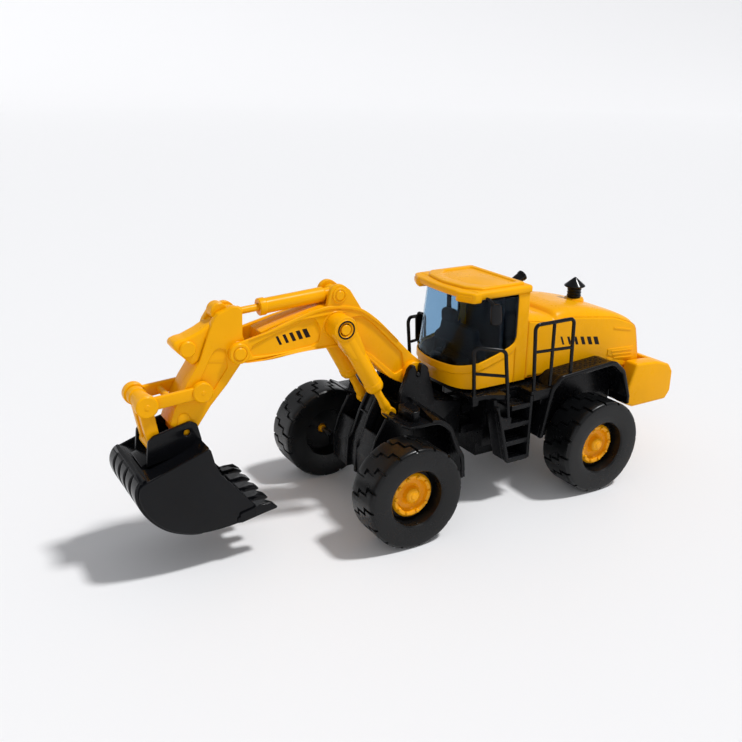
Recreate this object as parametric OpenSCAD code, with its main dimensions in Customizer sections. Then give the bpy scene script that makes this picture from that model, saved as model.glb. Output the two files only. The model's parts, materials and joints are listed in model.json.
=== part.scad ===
// Toy wheeled construction machine: articulated chassis, cab, engine hood and backhoe arm.
// +X points forward to the bucket, +Y to the machine's left, +Z up.
// The origin lies on the ground, midway between the two axles, on the centre plane.

/* [Wheels] */
// Outside diameter of a tyre
tyre_d = 85; // [80:1:88]
// Width of a tyre
tyre_w = 32.7; // [28:0.1:34]
// Distance between the two axles
wheelbase = 196.4; // [194:0.2:200]
// Width over the outer tyre faces
track_w = 180; // [178:1:190]
// Diameter of a steel axle rod
axle_d = 5; // [4:0.5:6]

/* [Cab and hood] */
// Half width of the cab and the engine hood
cab_half_w = 42.5; // [40:0.5:43]
// Height of the cab's sill above the ground
cab_sill_z = 102; // [100:0.5:104]
// Height of the underside of the roof
roof_z = 179; // [176:1:184]
// Wall of the moulded shells
wall = 2.4; // [1.8:0.1:2.8]

/* [Deck] */
// Height of the platform's top
deck_z = 99; // [98:0.5:100]
// Half width over the platforms
deck_half_w = 64; // [62:0.5:66]
// Thickness of a handrail
rail_d = 3.2; // [2.4:0.1:3.6]
// Height of the rear handrail's top bar
rail_top_z = 158; // [150:1:164]

/* [Arm] */
// Half width of the boom's beam
boom_half_w = 11.5; // [10:0.1:11.6]
// Half width of the stick
stick_half_w = 11.7; // [10:0.1:11.8]
// Diameter of the plastic pivot pins
pin_d = 4; // [3.5:0.1:4.4]
// Diameter of the lift cylinder barrels
lift_barrel_d = 14.4; // [12:0.1:14.6]
// Diameter of the stick cylinder barrel
stick_barrel_d = 12; // [10:0.2:13]

/* [Bucket] */
// Half width of the bucket
bucket_half_w = 38; // [34:0.5:42]
// Wall of the bucket
bucket_wall = 2.4; // [2:0.1:3]
// Number of teeth
teeth = 5; // [3:1:6]

/* [Hidden] */
$fn = 64;
fit = 0.05;          // running clearance on radius
gap = 0.5;           // side clearance between moving parts
r_tyre = tyre_d / 2;
axle_z = r_tyre;
front_x = wheelbase / 2;
rear_x = -wheelbase / 2;
tyre_y = track_w / 2 - tyre_w / 2;
pin_r = pin_d / 2;
axle_r = axle_d / 2;
BLACK = [0.07, 0.07, 0.075];
YELLOW = [0.96, 0.66, 0.03];
STEEL = [0.7, 0.71, 0.73];
GLASS = [0.55, 0.72, 0.82, 0.4];

// Pivots of the arm as [x, z]
P_boom = [56, 118];
P_lift_head = [128.5, 169];
P_lift_foot = [84, 89];
P_lug = [125, 192.3];
P_stick = [211.6, 159.5];
P_rod = [213, 187];
P_link = [241.7, 134.4];
P_tip = [284, 131.6];
P_bucket = [255.6, 105];
P_ear = [278.5, 97];
// The articulation between the two frames
artic_x = 4;

function dist(a, b) = norm([b[0] - a[0], b[1] - a[1]]);
function dir2(a, b) = [b[0] - a[0], b[1] - a[1]] / dist(a, b);
function along(a, b, t) = a + dir2(a, b) * t;
function side2(a, b) = [-dir2(a, b)[1], dir2(a, b)[0]];

// A 2D outline in x and z, given thickness from y0 to y1
module plate(y0, y1) {
    translate([0, y1, 0]) rotate([90, 0, 0]) linear_extrude(y1 - y0) children();
}
// A round bar along y at p = [x, z]
module ybar(p, y0, y1, r) {
    translate([p[0], y1, p[1]]) rotate([90, 0, 0]) cylinder(r = r, h = y1 - y0);
}
// A link with two round ends, in x and z
module link2(a, b, ra, rb) {
    n = side2(a, b);
    translate(a) circle(r = ra);
    translate(b) circle(r = rb);
    polygon([a + n * ra, b + n * rb, b - n * rb, a - n * ra]);
}
// A box by its two corners
module box(lo, hi) {
    translate(lo) cube(hi - lo);
}
// Puts a part that is drawn on the left on the left (1) or the right (-1)
module on_side(s) {
    if (s > 0) children();
    else mirror([0, 1, 0]) children();
}
// A round bar between two points
module rod3(a, b, r) {
    d = b - a;
    translate(a) rotate([0, acos(d[2] / norm(d)), atan2(d[1], d[0])]) cylinder(r = r, h = norm(d));
}
// A bent bar through a list of points, with each stretch run a little past its corners
module rail(points, r) {
    last = len(points) - 2;
    past = r * 0.9;
    for (i = [0 : last]) {
        a = points[i];
        b = points[i + 1];
        u = (b - a) / norm(b - a);
        rod3(i > 0 ? a - u * past : a, i < last ? b + u * past : b, r);
    }
}

// ---- Wheels ----
// The tyre is a moulded shell: a thick crown, an outer side wall and a recess for the hub
module tyre(x, s) {
    half = tyre_w / 2;
    recess_r = 23;
    shoulder = 1.8;
    web_y = 2;
    color(BLACK) translate([x, s * tyre_y, axle_z]) rotate([-90 * s, 0, 0]) rotate_extrude() polygon([
        [8.4, web_y - 3], [recess_r - 3.4, web_y - 3], [recess_r - 1, -half + 3],
        [r_tyre - 6, -half], [r_tyre - shoulder, -half], [r_tyre, -half + 3], [r_tyre, half - 3],
        [r_tyre - shoulder, half], [recess_r, half], [recess_r - 1, web_y], [8.4, web_y]]);
}
// The hub is a dished disc; its blind boss grips the axle
module hub(x, s) {
    boss_r = 8.2;
    color(YELLOW) translate([x, s * tyre_y, axle_z]) rotate([-90 * s, 0, 0]) difference() {
        rotate_extrude() polygon([[0, -7], [boss_r, -7], [boss_r, 2], [18.5, 2], [18.5, 6], [16.5, 8], [14.5, 8],
            [13, 4.6], [9.5, 4.6], [8, 8.6], [6.5, 9.6], [0, 9.6]]);
        translate([0, 0, -8]) cylinder(r = axle_r, h = 16);
    }
}
module axle(x) {
    color(STEEL) ybar([x, axle_z], -tyre_y - 7.8, tyre_y + 7.8, axle_r);
}

// ---- Front frame ----
nose_half_w = 33;
ear_in = 17;
ear_out = 22.5;
module ear_outline() {
    polygon([[11, 37], [11, 85.5], [37, 91], [40.5, 102], [44, 115], [45.5, 123], [50, 126],
        [62, 126], [65, 123], [72, 104], [73.5, 95], [73.5, 37]]);
}
module cheek_outline() {
    polygon([[66, 34], [66, 88], [70, 91], [93, 89], [103.6, 71], [108, 58], [108, 34]]);
}
module ridge_outline() {
    polygon([[74, 34], [74, 94], [86.7, 102], [96.4, 83.1], [103.6, 64], [107.6, 59.7], [109.1, 41.2], [109, 34]]);
}
module front_frame() {
    keyhole_w = pin_d + 0.3;
    color(BLACK) difference() {
        union() {
            for (s = [1, -1]) on_side(s) {
                plate(ear_in, ear_out) ear_outline();
                plate(nose_half_w - 3, nose_half_w) cheek_outline();
                plate(ear_out - 1, nose_half_w - 1) polygon([[66, 34], [66, 88], [69, 88], [69, 34]]);
                plate(8, nose_half_w - 1) polygon([[72, 34], [108, 34], [108, 55], [100, 74], [97.5, 73], [104, 54],
                    [104, 38], [72, 38]]);
            }
            plate(-9, 9) ridge_outline();
            box([15, -ear_in - 1, 37], [18, ear_in + 1, 88]);
            box([15, -ear_in - 1, 84], [73.5, ear_in + 1, 88]);
            box([15, -ear_in - 1, 37], [73.5, ear_in + 1, 40]);
            box([70, -ear_in - 1, 34], [75, ear_in + 1, 94]);
            ybar([front_x, axle_z], -nose_half_w - 14, nose_half_w + 14, 7);
            // Tongue of the articulation
            box([artic_x, -8, 58], [16, 8, 70]);
            translate([artic_x, 0, 58]) cylinder(r = 8, h = 12);
        }
        ybar([front_x, axle_z], -60, 60, axle_r + 0.1);
        ybar(P_boom, -30, 30, pin_r + fit);
        plate(-30, 30) polygon([P_boom + [-keyhole_w / 2, 0], P_boom + [keyhole_w / 2, 0],
            P_boom + [keyhole_w / 2 - 0.6, 12], P_boom + [-keyhole_w / 2 + 0.6, 12]]);
        ybar(P_lift_foot, -31.5, 31.5, pin_r + fit);
        translate([artic_x, 0, 50]) cylinder(r = 3 + fit, h = 30);
        // A slot that shows the recessed panel on the sloping nose
        translate([98.2, 0, 79]) rotate([0, 67, 0]) cube([15, 9, 2.4], center = true);
    }
}
// Outline of the arched shell over the front wheel
module front_fender_shell() {
    polygon([[90, 89.2], [63, 90.6], [55.5, 87.4], [47.5, 77.4], [40.4, 61], [37, 47], [35, 33], [37.4, 33],
        [39.4, 46.6], [42.7, 60.2], [49.6, 76], [56.9, 85.2], [63.3, 88.1], [90, 86.8]]);
}
// Outline of the rolled lip under the shell's outer edge
module front_fender_lip() {
    polygon([[90, 86.8], [63.3, 88.1], [56.9, 85.2], [49.6, 76], [42.7, 60.2], [39.4, 46.6], [37.4, 33], [39.4, 33],
        [41.4, 46.2], [44.6, 59.5], [51.3, 75], [58, 83.6], [63.6, 86.3], [90, 85.4]]);
}
module front_fender(s) {
    outer_y = 61;
    cheek_x = 65.6;
    color(BLACK) on_side(s) {
        plate(nose_half_w + fit, outer_y) front_fender_shell();
        // Behind the cheek the shell reaches in to the ear
        plate(ear_out + fit, nose_half_w + 0.2) difference() {
            front_fender_shell();
            translate([cheek_x, 80]) square(40);
        }
        plate(outer_y - 2, outer_y) front_fender_lip();
    }
}
module front_lamp(s) {
    color(BLACK) on_side(s) difference() {
        box([69.5, 30, 91.05], [80, 52, 99]);
        translate([80, 41, 95]) rotate([0, 90, 0]) cylinder(r = 3, h = 2, center = true);
        translate([69.5, 52, 90]) rotate([0, 0, 40]) cube([8, 8, 24], center = true);
    }
}
module boom_pin() {
    color(BLACK) ybar(P_boom, -ear_out - 0.4, ear_out + 0.4, pin_r);
}
module lift_foot_pins() {
    for (s = [1, -1]) on_side(s) color(BLACK) ybar(P_lift_foot, 8.6, 31.3, pin_r);
}

// ---- Rear frame ----
module rear_frame() {
    top = cab_sill_z - 6;
    color(BLACK) difference() {
        union() {
            // Column in front of the wheels, with the fork of the articulation
            box([-34, -30, 40], [-9, 30, top]);
            for (z = [[50, 57.5], [70.5, 78]]) {
                box([-10, -16, z[0]], [artic_x, 16, z[1]]);
                translate([artic_x, 0, z[0]]) cylinder(r = 10, h = z[1] - z[0]);
            }
            // Main beam back to the counterweight
            box([-178, -24, 56], [-30, 24, top]);
            box([-193, -24, 58], [-170, 24, 77]);
            // Deck plates that carry the cab, the hood and the fenders
            box([-58, -30.4, top - 4], [14, 30.4, cab_sill_z]);
            box([-138, -cab_half_w, 88], [-60, cab_half_w, 92]);
            box([-60, -cab_half_w, 88], [-46, cab_half_w, 92]);
            // Belly block and the axle tunnel
            box([-30, -20, 27], [-10, 20, 41]);
            box([-112, -28, 34], [-84, 28, 58]);
            ybar([rear_x, axle_z], -57, 57, 8);
        }
        translate([artic_x, 0, 45]) cylinder(r = 3 + fit, h = 40);
        ybar([rear_x, axle_z], -60, 60, axle_r + 0.1);
        // The beam is a channel, open underneath
        box([-166, -20, 50], [-116, 20, top - 10]);
        box([-80, -20, 50], [-38, 20, top - 10]);
        for (p = screw_places) translate([p[0], p[1], p[2] - 1]) cylinder(r = 3, h = 3);
        for (p = screw_places) translate([p[0], p[1], p[2] - 1]) cylinder(r = 1.4, h = 13);
    }
}
screw_places = [[-14, 0, 27], [-26, 0, 27], [-90, 22, 34], [-90, -22, 34], [-107, 22, 34], [-107, -22, 34]];
module frame_screws() {
    for (p = screw_places) translate([p[0], p[1], p[2]]) color(STEEL) difference() {
        union() {
            translate([0, 0, 0.4]) cylinder(r = 2.8, h = 1.5);
            translate([0, 0, 1.8]) cylinder(r = 1.3, h = 9);
        }
        cube([3.2, 0.7, 2], center = true);
        cube([0.7, 3.2, 2], center = true);
    }
}
module articulation_pin() {
    color(STEEL) translate([artic_x, 0, 49]) cylinder(r = 3, h = 30);
    color(STEEL) translate([artic_x, 0, 78.2]) cylinder(r = 5, h = 1.8);
}
module platform(s) {
    t = 3;
    color(BLACK) on_side(s) {
        // Walkway beside the cab
        translate([0, 0, deck_z - t]) linear_extrude(t) polygon([[19.5, 30.5], [19.5, 51.2], [6, 51.2], [-9, 60],
            [-12.9, 60], [-12.9, 45.5], [-33.4, 45.5], [-33.4, deck_half_w], [-55.2, deck_half_w], [-55.2, 30.5]]);
        // Skirt and inner bracket down to the chassis
        box([-36, 30.5, 62], [-9, 33.5, deck_z - t]);
        box([-53.8, deck_half_w - 3, deck_z - 9], [-35.7, deck_half_w, deck_z - t]);
        box([13, cab_half_w + 2, deck_z - 8], [19.5, 51.2, deck_z - t]);
    }
}
module ladder(s) {
    t = 2.6;
    y_in = 44;
    y_out = deck_half_w;
    pitch = 16.2;
    step_front = [-10, -7, -2.5, -13];
    color(BLACK) on_side(s) {
        // Front cheek, which leans in at the top to meet the deck's edge
        plate(y_in, 57) polygon([[-1, 95.9], [2.5, 95.9], [-10.5, 37.5], [-13.5, 37.5]]);
        plate(56, y_out) polygon([[-0.5, 90], [3.2, 91.4], [-10.5, 37.5], [-13.5, 37.5]]);
        plate(y_in, y_out) polygon([[-35.5, 95.9], [-32.5, 95.9], [-32.5, 37.5], [-35.5, 37.5]]);
        for (i = [0 : 3]) {
            z = 39 + i * pitch;
            box([-34, y_in, z - 1.6], [step_front[i], y_out, z + 1.2]);
        }
        // Web that carries the foot of the handrail
        plate(60.4, y_out) polygon([[3.2, 91.4], [-1, 83], [-5, 80.6], [-8, 80], [-13, 80], [-13, 70], [-2.5, 70]]);
        // Back wall behind the steps
        plate(y_in, y_in + t) polygon([[0, 95.9], [-12.5, 37.5], [-34, 37.5], [-34, 95.9]]);
    }
}
module front_rail(s) {
    y = deck_half_w - 2.2;
    r = rail_d / 2;
    foot = deck_z - 0.05;
    color(BLACK) on_side(s) {
        difference() {
            rail([[17.3, 49.3, foot - 2], [20.5, 50, 144], [-3.7, y, 140.4], [-10.6, 62.2, 77]], r);
            box([10, 40, foot - 8], [30, 60, deck_z]);
            box([-20, 58, 70], [0, 66, 80.05]);
        }
        rod3([19, 49.6, 120.5], [-6.3, y, 117.6], r * 0.85);
    }
}
module rear_rail(s) {
    y = deck_half_w - 2.2;
    r = rail_d / 2;
    color(BLACK) on_side(s) {
        difference() {
            union() {
                rail([[-37, y, deck_z - 3], [-34, y, rail_top_z], [-77, y, rail_top_z], [-78, y, 104]], r);
                rod3([-55, y, 100], [-55, y, rail_top_z], r);
                rod3([-35.4, y, 134], [-77.4, y, 132], r * 0.85);
            }
            box([-50, y - 4, deck_z - 8], [-20, y + 4, deck_z]);
            plate(y - 4, y + 4) rear_fender_body();
        }
    }
}
// Outline of the rear fender's solid shell and the arch under it
module rear_fender_body() {
    polygon([[-45.5, 53], [-49.5, 70], [-56, 99.2], [-66, 107.5], [-125, 111], [-131, 109.5], [-142, 100], [-151.5, 74],
        [-151.5, 50], [-45.5, 50]]);
}
module rear_fender_arch() {
    polygon([[-48.8, 49], [-48.8, 54], [-52.6, 70], [-58.6, 96], [-67, 104.3], [-125, 107.8], [-129.6, 106.4],
        [-139.2, 98], [-148.3, 73], [-148.3, 49]]);
}
module rear_fender(s) {
    color(BLACK) on_side(s) difference() {
        union() {
            plate(cab_half_w + 0.1, 66) difference() {
                rear_fender_body();
                rear_fender_arch();
            }
            // Inner wall of the wheel well
            plate(cab_half_w + 0.1, cab_half_w + 2) rear_fender_body();
        }
        box([-160, 0, 40], [-146, 70, 74]);
        box([-160, 0, 40], [-44, 70, 53]);
        ybar([rear_x, axle_z], 0, 70, 14);
    }
}

// ---- Cab ----
cab_front_x = 22;
cab_rear_x = -43;
pillar_x = -31;
module cab_plan(inset) {
    x0 = cab_rear_x + inset;
    x = cab_front_x - inset;
    h = cab_half_w - inset;
    polygon([[x0, -h], [x - 14, -h], [x - 6, -h + 3], [x, -h + 10], [x + 4, -h + 19], [x + 6, -h + 32],
        [x + 6, h - 32], [x + 4, h - 19], [x, h - 10], [x - 6, h - 3], [x - 14, h], [x0, h]]);
}
// The space behind the raked windshield, which leans back towards the roof
module behind_windshield(inset) {
    x = cab_front_x + 7 - inset;
    plate(-60, 60) polygon([[-60, 100], [x, 100], [x, 121], [x - 17.5, roof_z], [x - 17.5, 200], [-60, 200]]);
}
// The glass opening in the side of the cab
module side_window() {
    polygon([[40, 121.5], [24, 122], [12, 124.6], [0, 127.5], [-14, 131.5], [-25, 135.6], [pillar_x, 138.5],
        [pillar_x, roof_z + 1], [40, roof_z + 1]]);
}
module cab_shell() {
    color(YELLOW) difference() {
        translate([0, 0, cab_sill_z]) linear_extrude(roof_z - cab_sill_z) cab_plan(0);
        translate([0, 0, cab_sill_z + 3]) linear_extrude(roof_z) cab_plan(wall);
        plate(-60, 60) side_window();
    }
}
module cab_glazing() {
    t = 1.4;
    inset = 0.9;
    color(GLASS) difference() {
        intersection() {
            translate([0, 0, 118]) linear_extrude(roof_z - 118) cab_plan(inset);
            behind_windshield(inset);
        }
        intersection() {
            translate([0, 0, 116]) linear_extrude(roof_z) cab_plan(inset + t);
            behind_windshield(inset + t);
        }
        difference() {
            box([-60, -60, 110], [60, 60, roof_z + 1]);
            plate(-60, 60) side_window();
        }
    }
}
module cab_roof() {
    rear_x0 = -45;
    h = 44;
    rim_z = roof_z + 8;
    color(YELLOW) {
        translate([0, 0, roof_z]) linear_extrude(8) polygon([[rear_x0, -h], [14, -h], [14, h], [rear_x0, h]]);
        // Raised panel
        translate([0, 0, rim_z - 0.5]) linear_extrude(3.5) polygon([[rear_x0 + 5, -h + 7], [rear_x0 + 5, h - 7],
            [5, h - 7], [12, h - 16], [14, 0], [12, -h + 16], [5, -h + 7]]);
        // Lamp pods at the two front corners
        for (s = [1, -1]) on_side(s) translate([0, 0, roof_z - 0.5]) linear_extrude(8.5) polygon([[13.5, 25],
            [25, 25], [23.5, 30], [17, h], [13.5, h]]);
        // Visor between the pods
        box([13.5, -26, roof_z + 2.5], [24, 26, rim_z]);
    }
}
module cab_interior() {
    // Dark inner moulding: floor, console and the pillar behind the door
    color(BLACK) {
        translate([0, 0, cab_sill_z + 3.05]) linear_extrude(4) cab_plan(wall + 0.3);
        box([-40.4, -38, cab_sill_z + 7], [-37.4, 38, roof_z - 0.3]);
        for (s = [1, -1]) on_side(s) box([-19, 37, cab_sill_z + 7], [-15.5, 39.4, roof_z - 0.3]);
        box([14, -12, cab_sill_z + 7], [20, 12, 122]);
    }
}
module seat() {
    color(BLACK) {
        box([-12, -16, cab_sill_z + 7.1], [11, 16, 117]);
        box([-6, -20, 116], [12, 20, 122]);
        box([-5, -34, cab_sill_z + 7.1], [2, 34, 137]);
        box([-4, -26, 136], [1.5, 26, 149]);
    }
}
module steering_wheel() {
    color(BLACK) {
        rod3([16.6, 0, 122.6], [13.2, 0, 133.6], 1.6);
        translate([13, 0, 133]) rotate([0, -25, 0]) difference() {
            cylinder(r = 7, h = 2);
            translate([0, 0, -1]) cylinder(r = 5.4, h = 4);
        }
        translate([13, 0, 133]) rotate([0, -25, 0]) translate([0, 0, 1]) cube([12, 2.2, 1.6], center = true);
    }
}
// The left mirror hangs from the roof's edge
module mirror_left() {
    color(BLACK) {
        rod3([5, 44.9, roof_z + 3], [3, 52.6, roof_z - 1.5], 1.3);
        box([-4.5, 51, 160], [7.5, 54, roof_z]);
    }
}
// The right mirror stands lower, on a bracket at the sill and one at the glass
module mirror_right() {
    color(BLACK) {
        rod3([10, -42, 117.5], [10, -49, 121], 1.3);
        box([5, -50.4, 119], [13, -47.8, 147]);
        rod3([10, -49, 146], [10, -42.1, 148.4], 1.3);
    }
}
module air_pipe() {
    color(BLACK) difference() {
        rail([[-71, -26, 152], [-76, -26, 168], [-91, -26, 176.4]], 4.5);
        plate(-31, 31) hood_crown();
    }
}

// ---- Hood and rear ----
module hood_outline() {
    polygon([[-43.3, 103], [-43.3, 157], [-72, 150.5], [-79, 152.5], [-97, 150.5], [-145, 144], [-172, 135.6],
        [-178, 130], [-188.5, 79], [-140, 79], [-140, 99], [-60, 103]]);
}
// The low crown along the middle of the hood
module hood_crown() {
    polygon([[-43.3, 150], [-43.3, 162], [-74, 154.5], [-78, 158.4], [-92, 157.6], [-120, 154], [-146, 148.5],
        [-170, 140], [-178, 131], [-170, 120]]);
}
module hood() {
    h = cab_half_w;
    color(YELLOW) difference() {
        union() {
            plate(-h, h) hood_outline();
            // Crown along the middle
            plate(-h + 8, h - 8) hood_crown();
            translate([-134, 0, 140]) cylinder(r = 8.6, h = 14.4);
        }
        // Hollow inside, open underneath
        plate(-h + wall, h - wall) polygon([[-60, 70], [-60, 147], [-80, 146], [-168, 133], [-175, 128], [-185, 70]]);
        translate([-134, 0, 130]) cylinder(r = stack_r + 0.05, h = 30);
        // Grille slots near the rear on each side
        for (s = [1, -1], i = [0 : 2]) on_side(s)
            plate(h - 0.8, h + 1) polygon([[-145, 112 - i * 5], [-172, 110 - i * 5], [-172.6, 108.4 - i * 5],
                [-145, 110.4 - i * 5]]);
    }
}
stack_r = 6.6;
module exhaust_stack() {
    color(BLACK) translate([-134, 0, 0]) {
        translate([0, 0, 145]) cylinder(r = stack_r, h = 20);
        translate([0, 0, 164]) cylinder(r1 = stack_r, r2 = 9.8, h = 2.5);
        translate([0, 0, 166.5]) cylinder(r1 = 9.8, r2 = 1.2, h = 8.5);
    }
}
module counterweight() {
    w = 60;
    color(YELLOW) difference() {
        plate(-w, w) polygon([[-155, 62], [-155, 78], [-164, 101], [-192, 99], [-208, 94], [-214, 86], [-214, 66],
            [-208, 58], [-164, 58]]);
        plate(-44, 44) polygon([[-150, 50], [-150, 120], [-193, 120], [-193, 50]]);
        box([-156, -70, 50], [-152, 70, 110]);
    }
}

// ---- Boom ----
module boom_outline() {
    polygon([[45.5, 123], [44, 117], [47, 110], [53, 106], [60, 105.5], [73.4, 112.8], [81.9, 119.3], [96, 133],
        [110, 144], [122.7, 149.2], [135.2, 150.9], [163.2, 151.2], [184.8, 150.6], [206.6, 151.2], [211.6, 151.5],
        [217.6, 154], [219.6, 159.5], [217.6, 165], [211.6, 167.5], [203.8, 169.5], [189.2, 172.8], [173.3, 177.1],
        [157.1, 180.9], [146.1, 183.4], [135, 184.7], [123.7, 184], [112.2, 181.5], [102.8, 177.7], [92.1, 169.7],
        [82.3, 160.3], [69.6, 146.9], [56.7, 133.6], [48.7, 126.5]]);
}
// Hollow of one half shell
module boom_hollow() {
    polygon([[66, 125], [70, 118.5], [90, 136], [106, 147.5], [121, 153], [160, 155], [186, 154], [187, 169],
        [157, 176.5], [146, 179], [138, 180], [136, 176], [118, 176], [116, 178.5], [106, 175], [95, 167], [72, 143]]);
}
// Sunk panel on the outer face of the beam between the lift boss and the tip
module boom_panel_front() {
    polygon([[143, 156], [150, 154.6], [190, 154.2], [194, 156], [195, 163], [190, 167], [164, 173.4], [148, 177],
        [144, 174]]);
}
// Sunk panel between the foot and the lift boss
module boom_panel_rear() {
    polygon([[62, 122], [72, 117.5], [95, 138.5], [104, 145], [112, 149], [112, 172], [104, 172.6], [94, 164.6],
        [66, 135.5]]);
}
module boom_half(s) {
    skin = 2.2;
    color(YELLOW) on_side(s) difference() {
        union() {
            plate(0, boom_half_w) difference() {
                boom_outline();
                polygon([[192, 140], [192, 180], [230, 180], [230, 140]]);
            }
            // Cheek of the fork that holds the stick
            plate(stick_half_w + gap, 15.8) polygon([[176, 153.6], [206.6, 151.9], [211.6, 151.5], [217.6, 154],
                [219.6, 159.5], [217.6, 165], [211.6, 167.5], [203.8, 168.9], [176, 175]]);
            plate(boom_half_w - 1, 15.8) polygon([[172, 155.5], [190, 153.6], [190, 171], [172, 174.2]]);
            ybar(P_stick, stick_half_w + gap, 17.4, 8);
            // Upper lug for the stick cylinder
            plate(stick_barrel_d / 2 + 1, boom_half_w) polygon([[104, 178.4], [115, 195.5], [120, 199.5], [125, 201],
                [130.5, 199], [133.4, 194], [136, 184.4]]);
            ybar(P_lug, stick_barrel_d / 2 + 1, boom_half_w + 1.2, 6);
            // Foot boss
            ybar(P_boom, 0, ear_in - gap, 9);
            ybar(P_lift_head, 0, boom_half_w + 0.8, 10.5);
        }
        plate(-1, boom_half_w - skin - 1.4) boom_hollow();
        plate(boom_half_w - 1.2, 30) boom_panel_front();
        plate(boom_half_w - 1.2, boom_half_w + 0.6) boom_panel_rear();
        ybar(P_boom, -1, 30, pin_r + fit);
        ybar(P_lift_head, -1, 30, 4.2);
        ybar(P_stick, -1, 30, pin_r);
        ybar(P_lug, -1, 30, pin_r);
        // Slot for the stick cylinder's eye between the lugs
        plate(-1, stick_barrel_d / 2 + 1) polygon([[100, 186], [100, 210], [150, 210], [150, 186]]);
    }
}
module boom_pins() {
    color(YELLOW) ybar(P_stick, -17.4, 17.4, pin_r);
    color(YELLOW) ybar(P_lug, -boom_half_w - 1.2, boom_half_w + 1.2, pin_r);
    color(YELLOW) ybar(P_lift_head, -29.2, 29.2, 4.2);
}

// ---- Lift cylinders ----
lift_y = 21;
module lift_barrel(s) {
    head = P_lift_head;
    r = lift_barrel_d / 2;
    end = along(head, P_lift_foot, 66);
    neck = along(head, P_lift_foot, 4);
    color(YELLOW) on_side(s) difference() {
        union() {
            ybar(head, boom_half_w + 1.3, 28.6, 9.6);
            rod3([neck[0], lift_y, neck[1]], [end[0], lift_y, end[1]], r);
        }
        ybar(head, 0, 40, 5.1);
        // Bore for the rod
        mid = along(head, P_lift_foot, 22);
        beyond = along(head, P_lift_foot, 70);
        rod3([mid[0], lift_y, mid[1]], [beyond[0], lift_y, beyond[1]], 3.6);
        box([60, 0, 100], [140, boom_half_w + 1.3, 190]);
    }
}
module lift_rod(s) {
    far = along(P_lift_foot, P_lift_head, 50);
    color(YELLOW) on_side(s) difference() {
        union() {
            ybar(P_lift_foot, lift_y - 4, lift_y + 4, 5.2);
            rod3([P_lift_foot[0], lift_y, P_lift_foot[1]], [far[0], lift_y, far[1]], 3.3);
        }
        ybar(P_lift_foot, 0, 40, pin_r + fit);
    }
}

// ---- Stick cylinder ----
module stick_barrel() {
    a = P_lug;
    start = along(a, P_rod, 5);
    end = along(a, P_rod, 64);
    collar = along(a, P_rod, 60);
    mid = along(a, P_rod, 18);
    beyond = along(a, P_rod, 70);
    color(YELLOW) difference() {
        union() {
            ybar(a, -stick_barrel_d / 2, stick_barrel_d / 2, 5.6);
            rod3([start[0], 0, start[1]], [end[0], 0, end[1]], stick_barrel_d / 2);
            rod3([collar[0], 0, collar[1]], [end[0], 0, end[1]], stick_barrel_d / 2 + 0.7);
        }
        ybar(a, -20, 20, pin_r + fit);
        rod3([mid[0], 0, mid[1]], [beyond[0], 0, beyond[1]], 3.1);
    }
}
module stick_rod() {
    near = along(P_rod, P_lug, 56);
    color(YELLOW) difference() {
        union() {
            ybar(P_rod, -5, 5, 6);
            rod3([P_rod[0], 0, P_rod[1]], [near[0], 0, near[1]], 2.8);
        }
        ybar(P_rod, -20, 20, pin_r + 1.5);
    }
}

// ---- Stick ----
module stick_outline() {
    polygon([[211.7, 190], [214.5, 193.5], [218, 194.6], [222, 194.1], [225.2, 190.7], [230.3, 183.7], [234.9, 172.7],
        [241.2, 156.6], [249.9, 142.2], [257, 124], [263, 108], [260, 101], [255.6, 98], [250, 99.5], [244.2, 107.9],
        [234.6, 120.8], [220.9, 135.3], [208.8, 150.3], [203.6, 156], [203.4, 162], [206.9, 172], [209.6, 181]]);
}
module stick_panel() {
    polygon([[221.5, 163.4], [225, 164.2], [229, 163.2], [232, 159.5], [243, 139.5], [240, 126.5], [231, 133.8],
        [219.8, 148.6], [220.5, 157]]);
}
module stick() {
    end_r = 7.6;
    color(YELLOW) difference() {
        union() {
            intersection() {
                plate(-stick_half_w, stick_half_w) stick_outline();
                plate(-40, 40) difference() {
                    polygon([[190, 90], [190, 210], [280, 210], [280, 90]]);
                    difference() {
                        polygon([[246, 90], [246, 104], [255.6, 105], [258, 112], [280, 112], [280, 90]]);
                        translate(P_bucket) circle(r = end_r);
                    }
                }
            }
            ybar(P_stick, -stick_half_w, stick_half_w, 8.2);
            ybar(P_link, -stick_half_w, stick_half_w, 6);
        }
        for (s = [1, -1]) on_side(s) plate(stick_half_w - 1.1, 20) stick_panel();
        // Slot for the rod's eye at the top
        plate(-5.5, 5.5) polygon([[196, 177.5], [228, 177.5], [228, 200], [196, 200]]);
        ybar(P_stick, -20, 20, pin_r + fit);
        ybar(P_link, -20, 20, pin_r);
        ybar(P_bucket, -20, 20, pin_r);
        ybar(P_rod, -20, 20, pin_r);
    }
}
// Short fixed cylinder in front of the stick
module stick_guard() {
    color(YELLOW) difference() {
        union() {
            plate(-8.5, 8.5) polygon([[225, 187], [229, 183.8], [239, 178.6], [249, 174.7], [254, 174.1],
                [258, 172.4], [259.2, 169.6], [256, 164.6], [252, 160.4], [245.8, 153.6], [238, 164], [230, 178]]);
            ybar([248.7, 167], -11, 11, 6);
        }
        plate(-40, 40) stick_outline();
    }
}
module stick_pins() {
    color(YELLOW) ybar(P_link, -19.3, 19.3, pin_r);
    color(YELLOW) ybar(P_rod, -stick_half_w - 0.8, stick_half_w + 0.8, pin_r);
    color(YELLOW) ybar(P_bucket, -16.6, 16.6, pin_r);
}

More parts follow.
